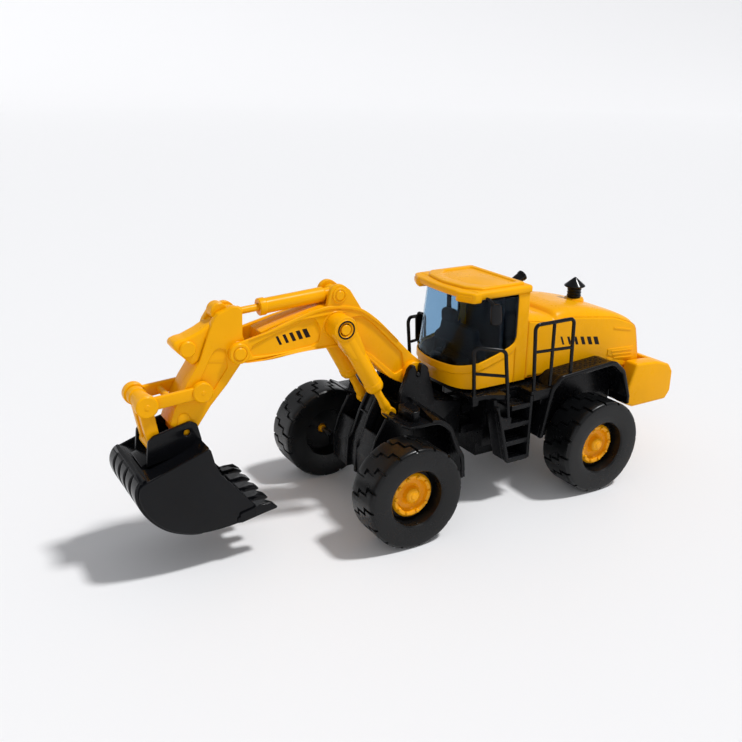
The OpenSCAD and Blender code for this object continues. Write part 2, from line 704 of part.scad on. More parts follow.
// ---- Bucket linkage ----
arm_in = stick_half_w + gap;
arm_out = 16;
module tipping_link() {
    color(YELLOW) difference() {
        union() {
            for (s = [1, -1]) on_side(s) {
                plate(arm_in, arm_out) link2(P_link, P_tip, 4.4, 4.6);
                ybar(P_link, arm_in, arm_out + 1.5, 7.5);
                ybar(P_tip, arm_in, arm_out + 3, 7.5);
            }
            // Cross bar between the arms
            ybar(along(P_link, P_tip, 26), -arm_in - 1, arm_in + 1, 2.4);
        }
        ybar(P_link, -40, 40, pin_r + fit);
        ybar(P_tip, -40, 40, pin_r);
    }
}
module tip_pin() {
    color(YELLOW) ybar(P_tip, -19, 19, pin_r);
}
module bucket_link() {
    color(YELLOW) difference() {
        union() {
            ybar(P_tip, -arm_in + gap, arm_in - gap, 6.6);
            ybar(P_ear, -arm_in + gap, arm_in - gap, 5.6);
            for (s = [1, -1]) on_side(s) plate(3, arm_in - gap) link2(P_tip, P_ear, 5, 4.6);
            plate(-4, 4) link2(P_tip, P_ear, 2.4, 2.4);
        }
        ybar(P_tip, -40, 40, pin_r + fit);
        ybar(P_ear, -40, 40, pin_r + 1);
    }
}

// ---- Bucket ----
ear_y0 = 13;
ear_y1 = 15.8;
module bucket_side() {
    polygon([[293.5, 83], [246, 99.2], [243, 86], [238, 75], [212, 43.5], [209, 37.5], [224, 33.2], [240, 31.6],
        [256, 32], [266, 34.2], [278, 39.6], [287, 46.8], [294.5, 56.5], [299, 66], [300.3, 74], [298.5, 79.5]]);
}
module bucket_cavity() {
    polygon([[291.5, 81], [248.6, 95.7], [243, 97], [230, 90], [200, 60], [205, 38.6], [224.4, 35.7], [240, 34.1],
        [255.6, 34.5], [265, 36.6], [276.7, 41.9], [285.2, 48.6], [292.4, 57.8], [296.6, 66.8], [297.8, 73.8],
        [296.2, 78.3]]);
}
module bucket() {
    lip_w = bucket_half_w + 1.8;
    tooth_half_w = 4.7;
    pitch = (lip_w - tooth_half_w) * 2 / (teeth - 1);
    color(BLACK) difference() {
        union() {
            difference() {
                plate(-bucket_half_w, bucket_half_w) bucket_side();
                plate(-bucket_half_w + bucket_wall, bucket_half_w - bucket_wall) bucket_cavity();
            }
            // Ears
            for (s = [1, -1]) on_side(s) plate(ear_y0, ear_y1) polygon([[246, 97], [247.6, 110], [251.5, 112.8],
                [255, 112.4], [282, 104.8], [285.6, 102], [286, 84]]);
            // Cutting lip and teeth
            plate(-lip_w, lip_w) polygon([[226, 32.8], [209, 36.4], [204.6, 37.3], [204.2, 41.5], [209, 42], [226, 37]]);
            for (i = [0 : teeth - 1]) {
                y = -lip_w + tooth_half_w + i * pitch;
                plate(y - tooth_half_w, y + tooth_half_w) polygon([[210, 36.6], [204.6, 37.3], [196.2, 38], [195.6, 39.2],
                    [200.8, 43.4], [209, 43.6], [213, 40]]);
            }
            for (s = [1, -1]) on_side(s) plate(bucket_half_w - 0.5, lip_w) polygon([[224.5, 33.2], [205, 37.2],
                [196.2, 38], [195.6, 39.2], [200.8, 43.4], [209, 43.8], [224.5, 40.6]]);
            // Ribs on the curved back
            for (y = [-28, -14, 0, 14, 28]) plate(y - 4.2, y + 4.2) polygon([[293, 81], [296, 84], [299.6, 82], [302, 74],
                [300.6, 65.4], [296, 55.6], [288.2, 45.5], [279, 38], [270, 34], [268, 37], [286, 50], [296, 70]]);
        }
        ybar(P_bucket, -40, 40, pin_r + fit);
        ybar(P_ear, -40, 40, pin_r);
        plate(-bucket_half_w + bucket_wall, bucket_half_w - bucket_wall) bucket_cavity();
    }
}
module bucket_pin() {
    color(STEEL) ybar(P_ear, -ear_y1 - 0.6, ear_y1 + 0.6, pin_r);
}

rear_frame();
frame_screws();
articulation_pin();
platform(1);  // platform_left
platform(-1);  // platform_right
ladder(1);  // ladder_left
ladder(-1);  // ladder_right
front_rail(1);  // front_rail_left
front_rail(-1);  // front_rail_right
rear_rail(1);  // rear_rail_left
rear_rail(-1);  // rear_rail_right
rear_fender(1);  // rear_fender_left
rear_fender(-1);  // rear_fender_right
cab_shell();
cab_glazing();
cab_roof();
cab_interior();
seat();
steering_wheel();
mirror_left();
mirror_right();
air_pipe();
hood();
exhaust_stack();
counterweight();
axle(rear_x);  // rear_axle
tyre(rear_x, 1);  // tyre_rear_left
tyre(rear_x, -1);  // tyre_rear_right
hub(rear_x, 1);  // hub_rear_left
hub(rear_x, -1);  // hub_rear_right
front_frame();
front_fender(1);  // front_fender_left
front_fender(-1);  // front_fender_right
front_lamp(1);  // front_lamp_left
front_lamp(-1);  // front_lamp_right
boom_pin();
lift_foot_pins();
axle(front_x);  // front_axle
tyre(front_x, 1);  // tyre_front_left
tyre(front_x, -1);  // tyre_front_right
hub(front_x, 1);  // hub_front_left
hub(front_x, -1);  // hub_front_right
boom_half(1);  // boom_left
boom_half(-1);  // boom_right
boom_pins();
lift_barrel(1);  // lift_barrel_left
lift_barrel(-1);  // lift_barrel_right
lift_rod(1);  // lift_rod_left
lift_rod(-1);  // lift_rod_right
stick_barrel();
stick_rod();
stick();
stick_guard();
stick_pins();
tipping_link();
tip_pin();
bucket_link();
bucket();
bucket_pin();
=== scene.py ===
"""Looks of a toy excavator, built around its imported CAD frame.

Outlines are in millimetres in the CAD frame: +X forward, +Y left, +Z up, origin on the ground between the axles.
"""

import json
import math

import bmesh
import bpy
import numpy as np
from mathutils import Matrix, Vector
from mathutils.geometry import tessellate_polygon


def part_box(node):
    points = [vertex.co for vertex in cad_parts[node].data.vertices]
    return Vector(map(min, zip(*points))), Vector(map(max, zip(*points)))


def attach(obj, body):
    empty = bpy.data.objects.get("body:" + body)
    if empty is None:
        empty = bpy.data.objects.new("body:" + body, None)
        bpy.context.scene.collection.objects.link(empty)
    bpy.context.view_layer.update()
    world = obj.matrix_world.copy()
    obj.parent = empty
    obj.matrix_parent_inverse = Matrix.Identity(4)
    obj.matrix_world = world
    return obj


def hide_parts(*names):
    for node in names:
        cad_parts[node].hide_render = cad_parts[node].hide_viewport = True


MM = 0.001  # a millimetre in metres
SAME_PLACE = 1e-7  # points closer than this, in metres, are welded
ARC_STEP = math.radians(16)  # largest turn per segment of a rounded corner
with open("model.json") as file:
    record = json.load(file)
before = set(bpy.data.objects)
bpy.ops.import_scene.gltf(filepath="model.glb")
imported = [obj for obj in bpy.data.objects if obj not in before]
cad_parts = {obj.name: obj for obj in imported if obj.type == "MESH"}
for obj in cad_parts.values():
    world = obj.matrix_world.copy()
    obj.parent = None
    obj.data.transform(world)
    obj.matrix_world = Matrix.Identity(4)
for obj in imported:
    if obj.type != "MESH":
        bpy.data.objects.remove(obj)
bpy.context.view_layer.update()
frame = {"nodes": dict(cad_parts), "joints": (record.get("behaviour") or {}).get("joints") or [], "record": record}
scene = bpy.context.scene


# ---- Places that come from the frame ----
JOINTS = {j["name"]: j for j in frame["joints"]}


def pivot(joint):
    x, _, z = JOINTS[joint]["pos_m"]
    return np.array([x, z]) / MM


def node_box(node):
    lo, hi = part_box(node)
    return np.array(lo) / MM, np.array(hi) / MM


FOOT = pivot("boom_lift")
STICK = pivot("stick_swing")
BUCKET = pivot("bucket_curl")
LIFT_FOOT = pivot("lift_tilt_left")
LUG = pivot("stick_cylinder_tilt")
LINK = pivot("tipping_link_tilt")
TIP = pivot("bucket_link_tilt")
LIFT_HEAD = LIFT_FOOT + 91.5 * np.array(JOINTS["lift_slide_left"]["axis"])[[0, 2]]
ROD_EYE = np.array([213.0, 187.0])
EAR_EYE = np.array([278.5, 97.0])
LIFT_Y = 21.0
PIN_R = 2.0


# ---- Outlines: lists of (u, v) or (u, v, corner radius) ----
def unit(v):
    return v / np.maximum(np.linalg.norm(v, axis=-1, keepdims=True), 1e-9)


def spline(points, per=5):
    """A smooth open curve through the points."""
    p = [np.array(q, float) for q in points]
    p = [2 * p[0] - p[1], *p, 2 * p[-1] - p[-2]]
    out = []
    for a, b, c, d in zip(p, p[1:], p[2:], p[3:]):
        for k in range(per):
            t = k / per
            out.append(tuple(b + t / 2 * (c - a + t * (2 * a - 5 * b + 4 * c - d + t * (3 * b - a - 3 * c + d)))))
    return [*out, tuple(p[-2])]


def fillet(a, p, b, r):
    """Points of the arc that rounds corner p between a and b, in 2D or 3D."""
    u, v = unit(a - p), unit(b - p)
    half = math.acos(max(-1.0, min(1.0, float(u @ v)))) / 2
    if half > math.radians(88):
        return [p]
    reach = min(r / math.tan(half), 0.48 * np.linalg.norm(a - p), 0.48 * np.linalg.norm(b - p))
    r = reach * math.tan(half)
    centre = p + unit(u + v) * r / math.sin(half)
    start, end = p + u * reach - centre, p + v * reach - centre
    turn = math.pi - 2 * half
    count = max(2, math.ceil(turn / ARC_STEP))
    side = unit(end - start * math.cos(turn))
    return [centre + start * math.cos(turn * k / count) + side * r * math.sin(turn * k / count)
        for k in range(count + 1)]


def outline(points, r=0.0):
    """A closed loop from points, with corners rounded by r or by a point's own third number."""
    flat = [np.array(p[:2], float) for p in points]
    out = []
    for i, p in enumerate(flat):
        radius = points[i][2] if len(points[i]) > 2 else r
        if radius > 0:
            out += fillet(flat[i - 1], p, flat[(i + 1) % len(flat)], radius)
        else:
            out.append(p)
    keep = [p for i, p in enumerate(out) if np.linalg.norm(p - out[i - 1]) > 0.02]
    return np.array(keep)


def arc(c, r, start, end, n):
    """Points of an arc, from one angle to the other in radians."""
    return [(c[0] + r * math.cos(t), c[1] + r * math.sin(t)) for t in np.linspace(start, end, n)]


def circle(c, r, n=40):
    return np.array(arc(c, r, 0, 2 * math.pi, n + 1)[:-1])


def link(a, b, ra, rb, n=14):
    """Outline of a bar with two round ends."""
    a, b = np.array(a, float), np.array(b, float)
    d = unit(b - a)
    s = np.array([-d[1], d[0]])
    ends = []
    for c, r, w in ((a, ra, -1), (b, rb, 1)):
        ends.append([c + r * (w * d * math.sin(t) - w * s * math.cos(t)) for t in np.linspace(0, math.pi, n)])
    return np.array(ends[0] + ends[1])


def rect(u0, v0, u1, v1, r=0.0):
    return outline([(u0, v0), (u1, v0), (u1, v1), (u0, v1)], r)


def signed_area(p):
    q = np.roll(p, -1, 0)
    return float((p[:, 0] * q[:, 1] - q[:, 0] * p[:, 1]).sum() / 2)


def inset(loop, d):
    """The loop moved d into the material on its left."""
    into, out = unit(loop - np.roll(loop, 1, 0)), unit(np.roll(loop, -1, 0) - loop)
    n0, n1 = np.stack([-into[:, 1], into[:, 0]], 1), np.stack([-out[:, 1], out[:, 0]], 1)
    return loop + (n0 + n1) / np.maximum(1 + (n0 * n1).sum(1, keepdims=True), 0.35) * d


def along(a, b, t):
    return a + unit(b - a) * t


def at(p, y):
    """A point of the side view, at y."""
    return np.array([p[0], y, p[1]], float)


# ---- One piece's mesh in the making ----
AXES = {"y": (0, 2, 1), "z": (0, 1, 2), "x": (1, 2, 0)}


def skirt(rings, n, wrap=False):
    """Faces between each ring of n points and the next one; wrap also joins the last ring to the first."""
    total = rings * n
    return [(j * n + i, j * n + (i + 1) % n, ((j + 1) * n + (i + 1) % n) % total, ((j + 1) * n + i) % total)
        for j in range(rings if wrap else rings - 1) for i in range(n)]


class Build:
    def __init__(self):
        self.verts, self.faces = [], []

    def add(self, verts, faces):
        base = len(self.verts)
        self.verts += [tuple(float(c) for c in v) for v in verts]
        self.faces += [tuple(base + i for i in f) for f in faces]
        return self

    def slab(self, loops, w0, w1, r=0.5, axis="y", steps=3):
        """A plate with holes: an outer loop, then its holes, from w0 to w1 along axis, with every rim rounded by r."""
        loops = loops if isinstance(loops, list) else [loops]
        loops = [p if (signed_area(p) > 0) == (i == 0) else p[::-1] for i, p in enumerate(loops)]
        turns = [math.pi / 2 * k / steps for k in range(steps + 1)]
        levels = [(r - r * math.sin(t), w0 + r - r * math.cos(t)) for t in turns]
        levels += [(r - r * math.sin(t), w1 - r + r * math.cos(t)) for t in reversed(turns)]
        u, v, w = AXES[axis]
        verts, faces, caps = [], [], []
        for loop in loops:
            n, base = len(loop), len(verts)
            for d, height in levels:
                for q in inset(loop, d) if d > 1e-6 else loop:
                    point = [0.0, 0.0, 0.0]
                    point[u], point[v], point[w] = q[0], q[1], height
                    verts.append(point)
            faces += [tuple(base + i for i in f) for f in skirt(len(levels), n)]
            caps.append((base, n))
        last = len(levels) - 1
        flat = [[Vector((verts[b + i][u], verts[b + i][v], 0)) for i in range(n)] for b, n in caps]
        ids = [b + i for b, n in caps for i in range(n)]
        top = [b + last * n + i for b, n in caps for i in range(n)]
        for tri in tessellate_polygon(flat):
            faces.append(tuple(ids[i] for i in reversed(tri)))
            faces.append(tuple(top[i] for i in tri))
        return self.add(verts, faces)

    def pair(self, loops, y0, y1, r=0.5, steps=3):
        """A plate on the left, from y0 to y1, and its mirror image on the right."""
        return self.slab(loops, y0, y1, r, steps=steps).slab(loops, -y1, -y0, r, steps=steps)

    def block(self, lo, hi, r=0.6, corner=None, axis="z"):
        """A box by two corners, with rounded edges."""
        u, v, w = AXES[axis]
        return self.slab(rect(lo[u], lo[v], hi[u], hi[v], r if corner is None else corner), lo[w], hi[w], r, axis)

    def turned(self, profile, centre, axis=(0, 1, 0), n=48, r=0.0, ring=False):
        """A turned shape: profile is (radius, distance along the axis), open from axis to axis unless ring."""
        pts = outline(profile, r) if ring else np.array(open_path(profile, r))
        d = unit(np.array(axis, float))
        side = unit(np.cross(d, [0.31, 0.17, 0.93]))
        up = np.cross(d, side)
        c = np.array(centre, float)
        verts = [c + d * h + side * x + up * z for rad, h in pts for x, z in circle((0, 0), rad, n)]
        return self.add(verts, skirt(len(pts), n, ring))

    def tube(self, points, r, bend=4.0, n=14, end=0.5):
        """A round bar through 3D points, with its bends rounded and its two ends eased by end times r."""
        path = np.array(open_path([np.array(p, float) for p in points], bend))
        t = unit(np.gradient(path, axis=0))
        side = unit(np.cross(t[0], [0.13, 0.21, 0.97]))
        e = r * end
        stops = [(path[0], t[0], r - e), (path[0] + t[0] * e, t[0], r)]
        stops += [(p, d, r) for p, d in zip(path[1:-1], t[1:-1])]
        stops += [(path[-1] - t[-1] * e, t[-1], r), (path[-1], t[-1], r - e)]
        verts = []
        for p, d, radius in stops:
            side = unit(side - d * (side @ d))
            up = np.cross(d, side)
            verts += [p + side * x + up * z for x, z in circle((0, 0), radius, n)]
        ends = [tuple(reversed(range(n))), tuple(range(len(verts) - n, len(verts)))]
        return self.add(verts, skirt(len(stops), n) + ends)

    def sheet(self, grid, thick):
        """A bent sheet: rows of 3D points on its outer face, made thick on the inner side."""
        g = np.array(grid, float)
        normal = unit(np.cross(np.gradient(g, axis=0), np.gradient(g, axis=1)))
        rows, cols = g.shape[:2]
        verts = list(g.reshape(-1, 3)) + list((g - normal * thick).reshape(-1, 3))
        half = rows * cols
        faces = []
        for i in range(rows - 1):
            for j in range(cols - 1):
                q = (i * cols + j, i * cols + j + 1, (i + 1) * cols + j + 1, (i + 1) * cols + j)
                faces += [q, tuple(half + k for k in reversed(q))]
        index = np.arange(half).reshape(rows, cols)
        rim = [int(i) for i in (*index[0], *index[1:, -1], *index[-1, -2::-1], *index[-2:0:-1, 0])]
        faces += [(a, b, b + half, a + half) for a, b in zip(rim, rim[1:] + rim[:1])]
        return self.add(verts, faces)

    def pin(self, p, y0, y1, r, cap=0.6, n=36):
        """A pin along y with eased ends."""
        profile = [(0, y0), (r - cap, y0), (r, y0 + cap), (r, y1 - cap), (r - cap, y1), (0, y1)]
        return self.turned(profile, at(p, 0), n=n)

    def eye(self, p, y, half, bore, r, cap, n):
        """A bored boss along y, from y - half to y + half, with eased ends."""
        profile = [(bore, -half), (r - cap, -half), (r, cap - half), (r, half - cap), (r - cap, half), (bore, half)]
        return self.turned(profile, at(p, y), n=n, ring=True)

    def both(self):
        """Adds the mirror image of what is there across the centre plane."""
        return self.add([(x, -y, z) for x, y, z in self.verts], [tuple(reversed(f)) for f in self.faces])

    def side(self, s):
        """Keeps a left-hand shape on the left (1), or mirrors it to the right (-1)."""
        if s < 0:
            self.verts = [(x, -y, z) for x, y, z in self.verts]
            self.faces = [tuple(reversed(f)) for f in self.faces]
        return self

    def piece(self, name, body, slot, nodes=(), material=None, sharp=35):
        """Makes the mesh object, gives it its material, and lets it ride on its body."""
        mesh = bpy.data.meshes.new(name)
        mesh.from_pydata([tuple(c * MM for c in v) for v in self.verts], [], self.faces)
        bm = bmesh.new()
        bm.from_mesh(mesh)
        bmesh.ops.remove_doubles(bm, verts=bm.verts, dist=SAME_PLACE)
        bmesh.ops.dissolve_degenerate(bm, dist=SAME_PLACE, edges=bm.edges)
        bmesh.ops.recalc_face_normals(bm, faces=bm.faces)
        bm.to_mesh(mesh)
        bm.free()
        mesh.polygons.foreach_set("use_smooth", [True] * len(mesh.polygons))
        mesh.set_sharp_from_angle(angle=math.radians(sharp))
        obj = bpy.data.objects.new(name, mesh)
        scene.collection.objects.link(obj)
        mesh.materials.append(material or MATERIALS[slot])
        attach(obj, body)
        if nodes:
            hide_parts(*nodes)


def open_path(points, r):
    """An open path with rounded corners: r, or a 2D point's own third number."""
    own = [p[2] if len(p) == 3 and not isinstance(p, np.ndarray) else r for p in points]
    p = [np.array(q[:2] if len(q) == 3 and not isinstance(q, np.ndarray) else q, float) for q in points]
    out = [p[0]]
    for i in range(1, len(p) - 1):
        out += fillet(p[i - 1], p[i], p[i + 1], own[i]) if own[i] > 0 else [p[i]]
    return [*out, p[-1]]


def ease(obj, width):
    """Rounds an object's sharp edges."""
    b = obj.modifiers.new("ease", "BEVEL")
    b.width, b.segments, b.limit_method, b.angle_limit = width * MM, 2, "ANGLE", math.radians(32)
    b.harden_normals = True


# ---- Materials ----
def plastic(name, colour, roughness, mottle=0.06, grain=0.15, grain_scale=1400, specks=0.0, gloss=0.3):
    """Moulded plastic: slow colour drift, flow marks in the gloss, a fine moulding grain, and rubbed specks."""
    m = bpy.data.materials.new(name)
    m.use_nodes = True
    t, nodes = m.node_tree, m.node_tree.nodes
    shader = nodes["Principled BSDF"]
    shader.inputs["Specular IOR Level"].default_value = gloss
    where = nodes.new("ShaderNodeTexCoord").outputs["Object"]

    def noise(scale, detail, rough=0.5):
        n = nodes.new("ShaderNodeTexNoise")
        n.inputs["Scale"].default_value, n.inputs["Detail"].default_value = scale, detail
        n.inputs["Roughness"].default_value = rough
        t.links.new(where, n.inputs["Vector"])
        return n.outputs["Fac"]

    def spread(source, low, high, a=0.3, b=0.7):
        n = nodes.new("ShaderNodeMapRange")
        for key, value in (("From Min", a), ("From Max", b), ("To Min", low), ("To Max", high)):
            n.inputs[key].default_value = value
        t.links.new(source, n.inputs["Value"])
        return n.outputs["Result"]

    ramp = nodes.new("ShaderNodeValToRGB")
    dark, light = [c * (1 - mottle) for c in colour], [min(1, c * (1 + mottle)) for c in colour]
    ramp.color_ramp.elements[0].color, ramp.color_ramp.elements[1].color = (*dark, 1), (*light, 1)
    ramp.color_ramp.elements[0].position, ramp.color_ramp.elements[1].position = 0.3, 0.7
    t.links.new(noise(22, 3), ramp.inputs["Fac"])
    tone = ramp.outputs["Color"]
    if specks:
        mix = nodes.new("ShaderNodeMix")
        mix.data_type = "RGBA"
        mix.inputs["B"].default_value = (*[min(1, c * 1.6 + 0.02) for c in colour], 1)
        t.links.new(spread(noise(420, 2, 0.7), 0, specks, 0.68, 0.78), mix.inputs["Factor"])
        t.links.new(tone, mix.inputs["A"])
        tone = mix.outputs["Result"]
    t.links.new(tone, shader.inputs["Base Color"])
    t.links.new(spread(noise(60, 4, 0.6), roughness * 0.8, roughness * 1.25), shader.inputs["Roughness"])
    bump = nodes.new("ShaderNodeBump")
    bump.inputs["Strength"].default_value, bump.inputs["Distance"].default_value = grain, 0.0001
    t.links.new(noise(grain_scale, 2), bump.inputs["Height"])
    t.links.new(bump.outputs["Normal"], shader.inputs["Normal"])
    return m


def tinted_glass(name):
    """Clear plastic with a light blue tint, slightly wavy as moulded."""
    m = plastic(name, (0.42, 0.58, 0.72), 0.04, mottle=0.04, grain=0.05, grain_scale=90, gloss=0.4)
    shader = m.node_tree.nodes["Principled BSDF"]
    shader.inputs["Transmission Weight"].default_value = 1.0
    shader.inputs["IOR"].default_value = 1.15
    return m


def steel(name):
    m = plastic(name, (0.55, 0.56, 0.58), 0.3, mottle=0.1, grain=0.2, grain_scale=2500)
    m.node_tree.nodes["Principled BSDF"].inputs["Metallic"].default_value = 1.0
    return m


MATERIALS = {"yellow": plastic("yellow_plastic", (0.9, 0.405, 0.0012), 0.29, gloss=0.1),
    "hub_yellow": plastic("hub_plastic", (0.88, 0.37, 0.002), 0.26, gloss=0.2),
    "black_frame": plastic("frame_plastic", (0.0036, 0.0038, 0.0046), 0.26, mottle=0.25, specks=0.3, gloss=0.17),
    "black_trim": plastic("trim_plastic", (0.0034, 0.0037, 0.0047), 0.2, mottle=0.25, gloss=0.19),
    "tyre_black": plastic("tyre_plastic", (0.004, 0.0043, 0.0047), 0.3, mottle=0.25, grain=0.25, specks=0.25,
    gloss=0.26), "glazing": tinted_glass("glazing_plastic"),
    "interior": plastic("interior_plastic", (0.006, 0.007, 0.01), 0.5, mottle=0.2, grain=0.35, gloss=0.15),
    "steel": steel("drawn_steel"),}
PRINT = plastic("print_black", (0.012, 0.005, 0.004), 0.45, mottle=0.2, grain=0.05, gloss=0.15)


# ---- Wheels ----
def tyre(node, body):
    """A blow-moulded tyre: three rows of blocks, divided by grooves that step from row to row."""
    lo, hi = node_box(node)
    centre, s = (lo + hi) / 2, math.copysign(1, lo[1])
    R, half = (hi[2] - lo[2]) / 2, (hi[1] - lo[1]) / 2
    repeats, width, wall, depth, row = 16, 2.5, 0.3, 1.7, 5.2
    pitch, groove, edge = 2 * math.pi / repeats, width / 2 / R, wall / R
    steps = [pitch * k for k in (0.1, 0.4, 0.7)]
    columns = []
    for g in steps:
        columns += [(g - groove, g, 0), (g - groove + edge, g, 1), (g + groove - edge, g, 1), (g + groove, g, 0)]
    columns += [(pitch * k, None, 0) for k in (0.25, 0.55, 0.84, 0.96)]
    columns.sort(key=lambda c: c[0])
    crown = half - 3
    w = width / 2
    rows = [(R - 3 + 3 * math.cos(t), crown + 3 * math.sin(t)) for t in np.linspace(0, math.pi / 2, 6)][::-1]
    rows += [(R, y) for y in (row * 2, row + w, row + w - wall, row - w + wall, row - w, 0.0)]
    rows += [(R, -y) for _, y in rows[11:5:-1] if y > 0]
    rows += [(R - 3 + 3 * math.cos(t), -crown - 3 * math.sin(t)) for t in np.linspace(0, math.pi / 2, 4)]
    rows += [(35.5, 3 - half - 2.9), (22.5, 3.4 - half), (19.8, -1), (4.5, -1), (4.5, 2), (21.0, 2), (22.1, 3)]
    rows += [(22.7, half - 4), (23.1, half - 1.8), (24.2, half - 0.7), (26.0, half - 0.35), (31, half - 0.05),
        (36, half)]

    def on_groove_floor(y, angle, g, inside):
        if row - w + 0.01 < abs(y) < row + w - 0.01:
            a, b = steps[:2] if y > 0 else steps[1:]
            return a - groove + edge / 2 < angle < b + groove - edge / 2
        return inside and g == (steps[1] if abs(y) < row else steps[0] if y > 0 else steps[2])

    verts = []
    for radius, y in rows:
        for k in range(repeats):
            for angle, g, inside in columns:
                sunk = depth if radius > R - 1.9 and on_groove_floor(y, angle, g, inside) else 0.0
                a, r = angle + k * pitch, radius - sunk
                verts.append((centre[0] + r * math.sin(a), centre[1] + s * y, centre[2] + r * math.cos(a)))
    faces = skirt(len(rows), len(columns) * repeats, wrap=True)
    Build().add(verts, faces).piece(node + "_tread", body, "tyre_black", [node], sharp=28)


def hub(node, body):
    lo, hi = node_box(node)
    c, s = (lo + hi) / 2, math.copysign(1, lo[1])
    c = np.array([c[0], s * (abs(lo[1] + hi[1]) / 2 - 1.3), c[2]])
    out = (0, s, 0)
    b = Build().turned([(0, 10.8), (2.2, 10.8), (3.0, 10.0), (4.4, 10.0), (6.2, 8.6), (7.2, 4.6), (9.0, 3.4),
        (12.2, 3.4), (13.6, 5.0), (14.2, 7.6), (16.8, 8.0), (18.5, 6.6), (18.5, 2.2), (3.4, 2.2), (3.4, -2.6),
        (0, -2.6)], c, out, n=60, r=0.5)
    for k in range(10):
        a = math.radians(36 * k)
        place = c + np.array([15.2 * math.cos(a), 0, 15.2 * math.sin(a)])
        b.turned([(0, 9.3), (1.0, 9.2), (1.6, 8.6), (1.7, 7.0), (0, 7.0)], place, out, n=12)
    b.piece(node + "_dish", body, "hub_yellow", [node])


for end, body in (("front", "front_wheels"), ("rear", "rear_wheels")):
    for side in ("left", "right"):
        tyre(f"tyre_{end}_{side}", body)
        hub(f"hub_{end}_{side}", body)

SIDES = (("left", 1), ("right", -1))


# ---- Front frame ----
def ear_outline():
    slot = PIN_R + 0.25
    x, z = FOOT
    return outline([(11, 37, 1.5), (11, 85.4, 1.5), (30, 89.8, 3), (38.5, 91.8, 4), (40.8, 102, 3), (44.4, 115, 2),
        (46.4, 122.6, 1.5), (50, 126, 3), (x - slot - 0.9, 126, 0.8), (x - slot, z + 4),
        *arc(FOOT, slot, -math.pi, 0, 9), (x + slot, z + 4), (x + slot + 0.9, 126, 0.8), (62, 126, 2), (65, 123, 2),
        (72, 104, 3), (73.5, 95, 2), (73.5, 37, 1)])


def front_frame():
    b = Build()
    b.slab(ear_outline(), 17.05, 22.5, 0.6)
    b.slab(outline([(66, 34, 2), (66, 88, 1), (70, 91, 2), (93, 89, 3), (103.6, 71, 2), (108, 58, 2),
        (108, 34, 3)]), 30, 33, 0.7)
    b.slab(outline([(72, 34), (108, 34), (108, 55, 2), (100, 74, 1), (97.5, 73), (104, 54), (104, 38), (72, 38)]),
        9, 31, 0.5)
    b.slab(rect(66, 34, 69, 88), 21.5, 31, 0.4)
    b.turned([(0, 30), (7, 30), (7, 46.2), (6, 47), (0, 47)], (98.2, 0, 42.5), n=36)
    b.both()
    ridge = outline([(74, 34), (74, 94, 2), (86.7, 102, 3), (96.4, 83.1, 5), (103.6, 64, 3), (107.6, 59.7, 3),
        (109.1, 41.2, 2), (109, 34, 1)])
    panel = outline([(76, 36), (76, 92), (86.0, 98.4), (93.4, 84.5), (101.2, 66), (104.6, 58), (106, 42),
        (106, 36)], 1)
    b.slab(panel, -6.5, 6.5, 0.3)
    b.pair(ridge, 5.8, 9, 0.6)
    face, down = np.array([86.7, 102.0]), unit(np.array([96.4 - 86.7, 83.1 - 102.0]))
    # Two bars across the panel on the sloping nose, and a raised plate between them
    back = np.array([4, 1.5])
    for t0, t1 in ((2.5, 4.2), (19.0, 20.4)):
        p, q = face + down * t0, face + down * t1
        b.slab(outline([p, q, q - back, p - back], 0.3), -6.6, 6.6, 0.25)
    p, q, proud = face + down * 7, face + down * 17, np.array([-1.6, -0.8])
    b.slab(outline([p + proud, q + proud, q + proud * 2, p + proud * 2], 0.2), -3, 3, 0.2)
    b.block((15.2, -18, 37), (18, 18, 88), 0.3).block((15.2, -18, 84), (73.4, 18, 88), 0.3)
    b.block((15.2, -18, 37), (73.4, 18, 40), 0.3).block((70, -18, 34), (75, 18, 94), 0.3)
    b.block((4, -8, 58), (17, 8, 70), 0.3).turned([(0, 58), (7.5, 58), (8, 58.5), (8, 69.5), (7.5, 70), (0, 70)],
        (4, 0, 0), (0, 0, 1))
    b.piece("front_chassis", "front_frame", "black_frame", ["front_frame"])


def front_fender(side, s):
    """A mudguard that twists from an arch at its outer edge to a line beside the ear, and a flat sheet in front."""
    arch = spline([(67, 90.4), (58.3, 88.6), (49.7, 81.7), (46, 73.5), (40.3, 61), (36.4, 54), (35.2, 45),
        (34.5, 34)], 4)
    ear = spline([(66, 97.5), (57.8, 91.7), (49.6, 85.9), (40, 78.5), (30.7, 71), (28, 66), (26, 52), (25, 34)], 4)
    far, near = 61, 22.6
    grid = [[(p[0] + (q[0] - p[0]) * f, far + (near - far) * f, p[1] + (q[1] - p[1]) * f)
        for f in np.linspace(0, 1, 9)] for p, q in zip(arch, ear)]
    b = Build().sheet(grid, -2.2)
    b.slab(outline([(65.5, 88.2), (87.6, 88.2, 4), (95.4, 92.2, 1), (97.2, 95, 0.8), (87.8, 90.6, 4),
        (65.5, 90.5)]), 30, far, 0.7)
    b.tube([(96.4, far - 0.9, 93.6), (87.8, far - 0.9, 89.4), (67, far - 0.9, 89.3),
        *[(x - 0.2, far - 0.9, z - 1.0) for x, z in arch[2:]]], 1.2, 3.5)
    b.side(s).piece("front_fender_shell_" + side, "front_frame", "black_frame", ["front_fender_" + side], sharp=40)


def front_lamp(side, s):
    b = Build().slab(outline([(69.5, 30.2, 1.2), (80.8, 30.2, 1.6), (80.8, 53.5, 1.6), (75, 53.5, 1.6),
        (69.5, 46, 2)]), 90.4, 99.2, 1.1, "z", 4)
    b.block((80.2, 32.4, 92.2), (81.4, 51.4, 97.8), 0.4, 1.2, "x")
    b.side(s).piece("front_lamp_box_" + side, "front_frame", "black_frame", ["front_lamp_" + side])


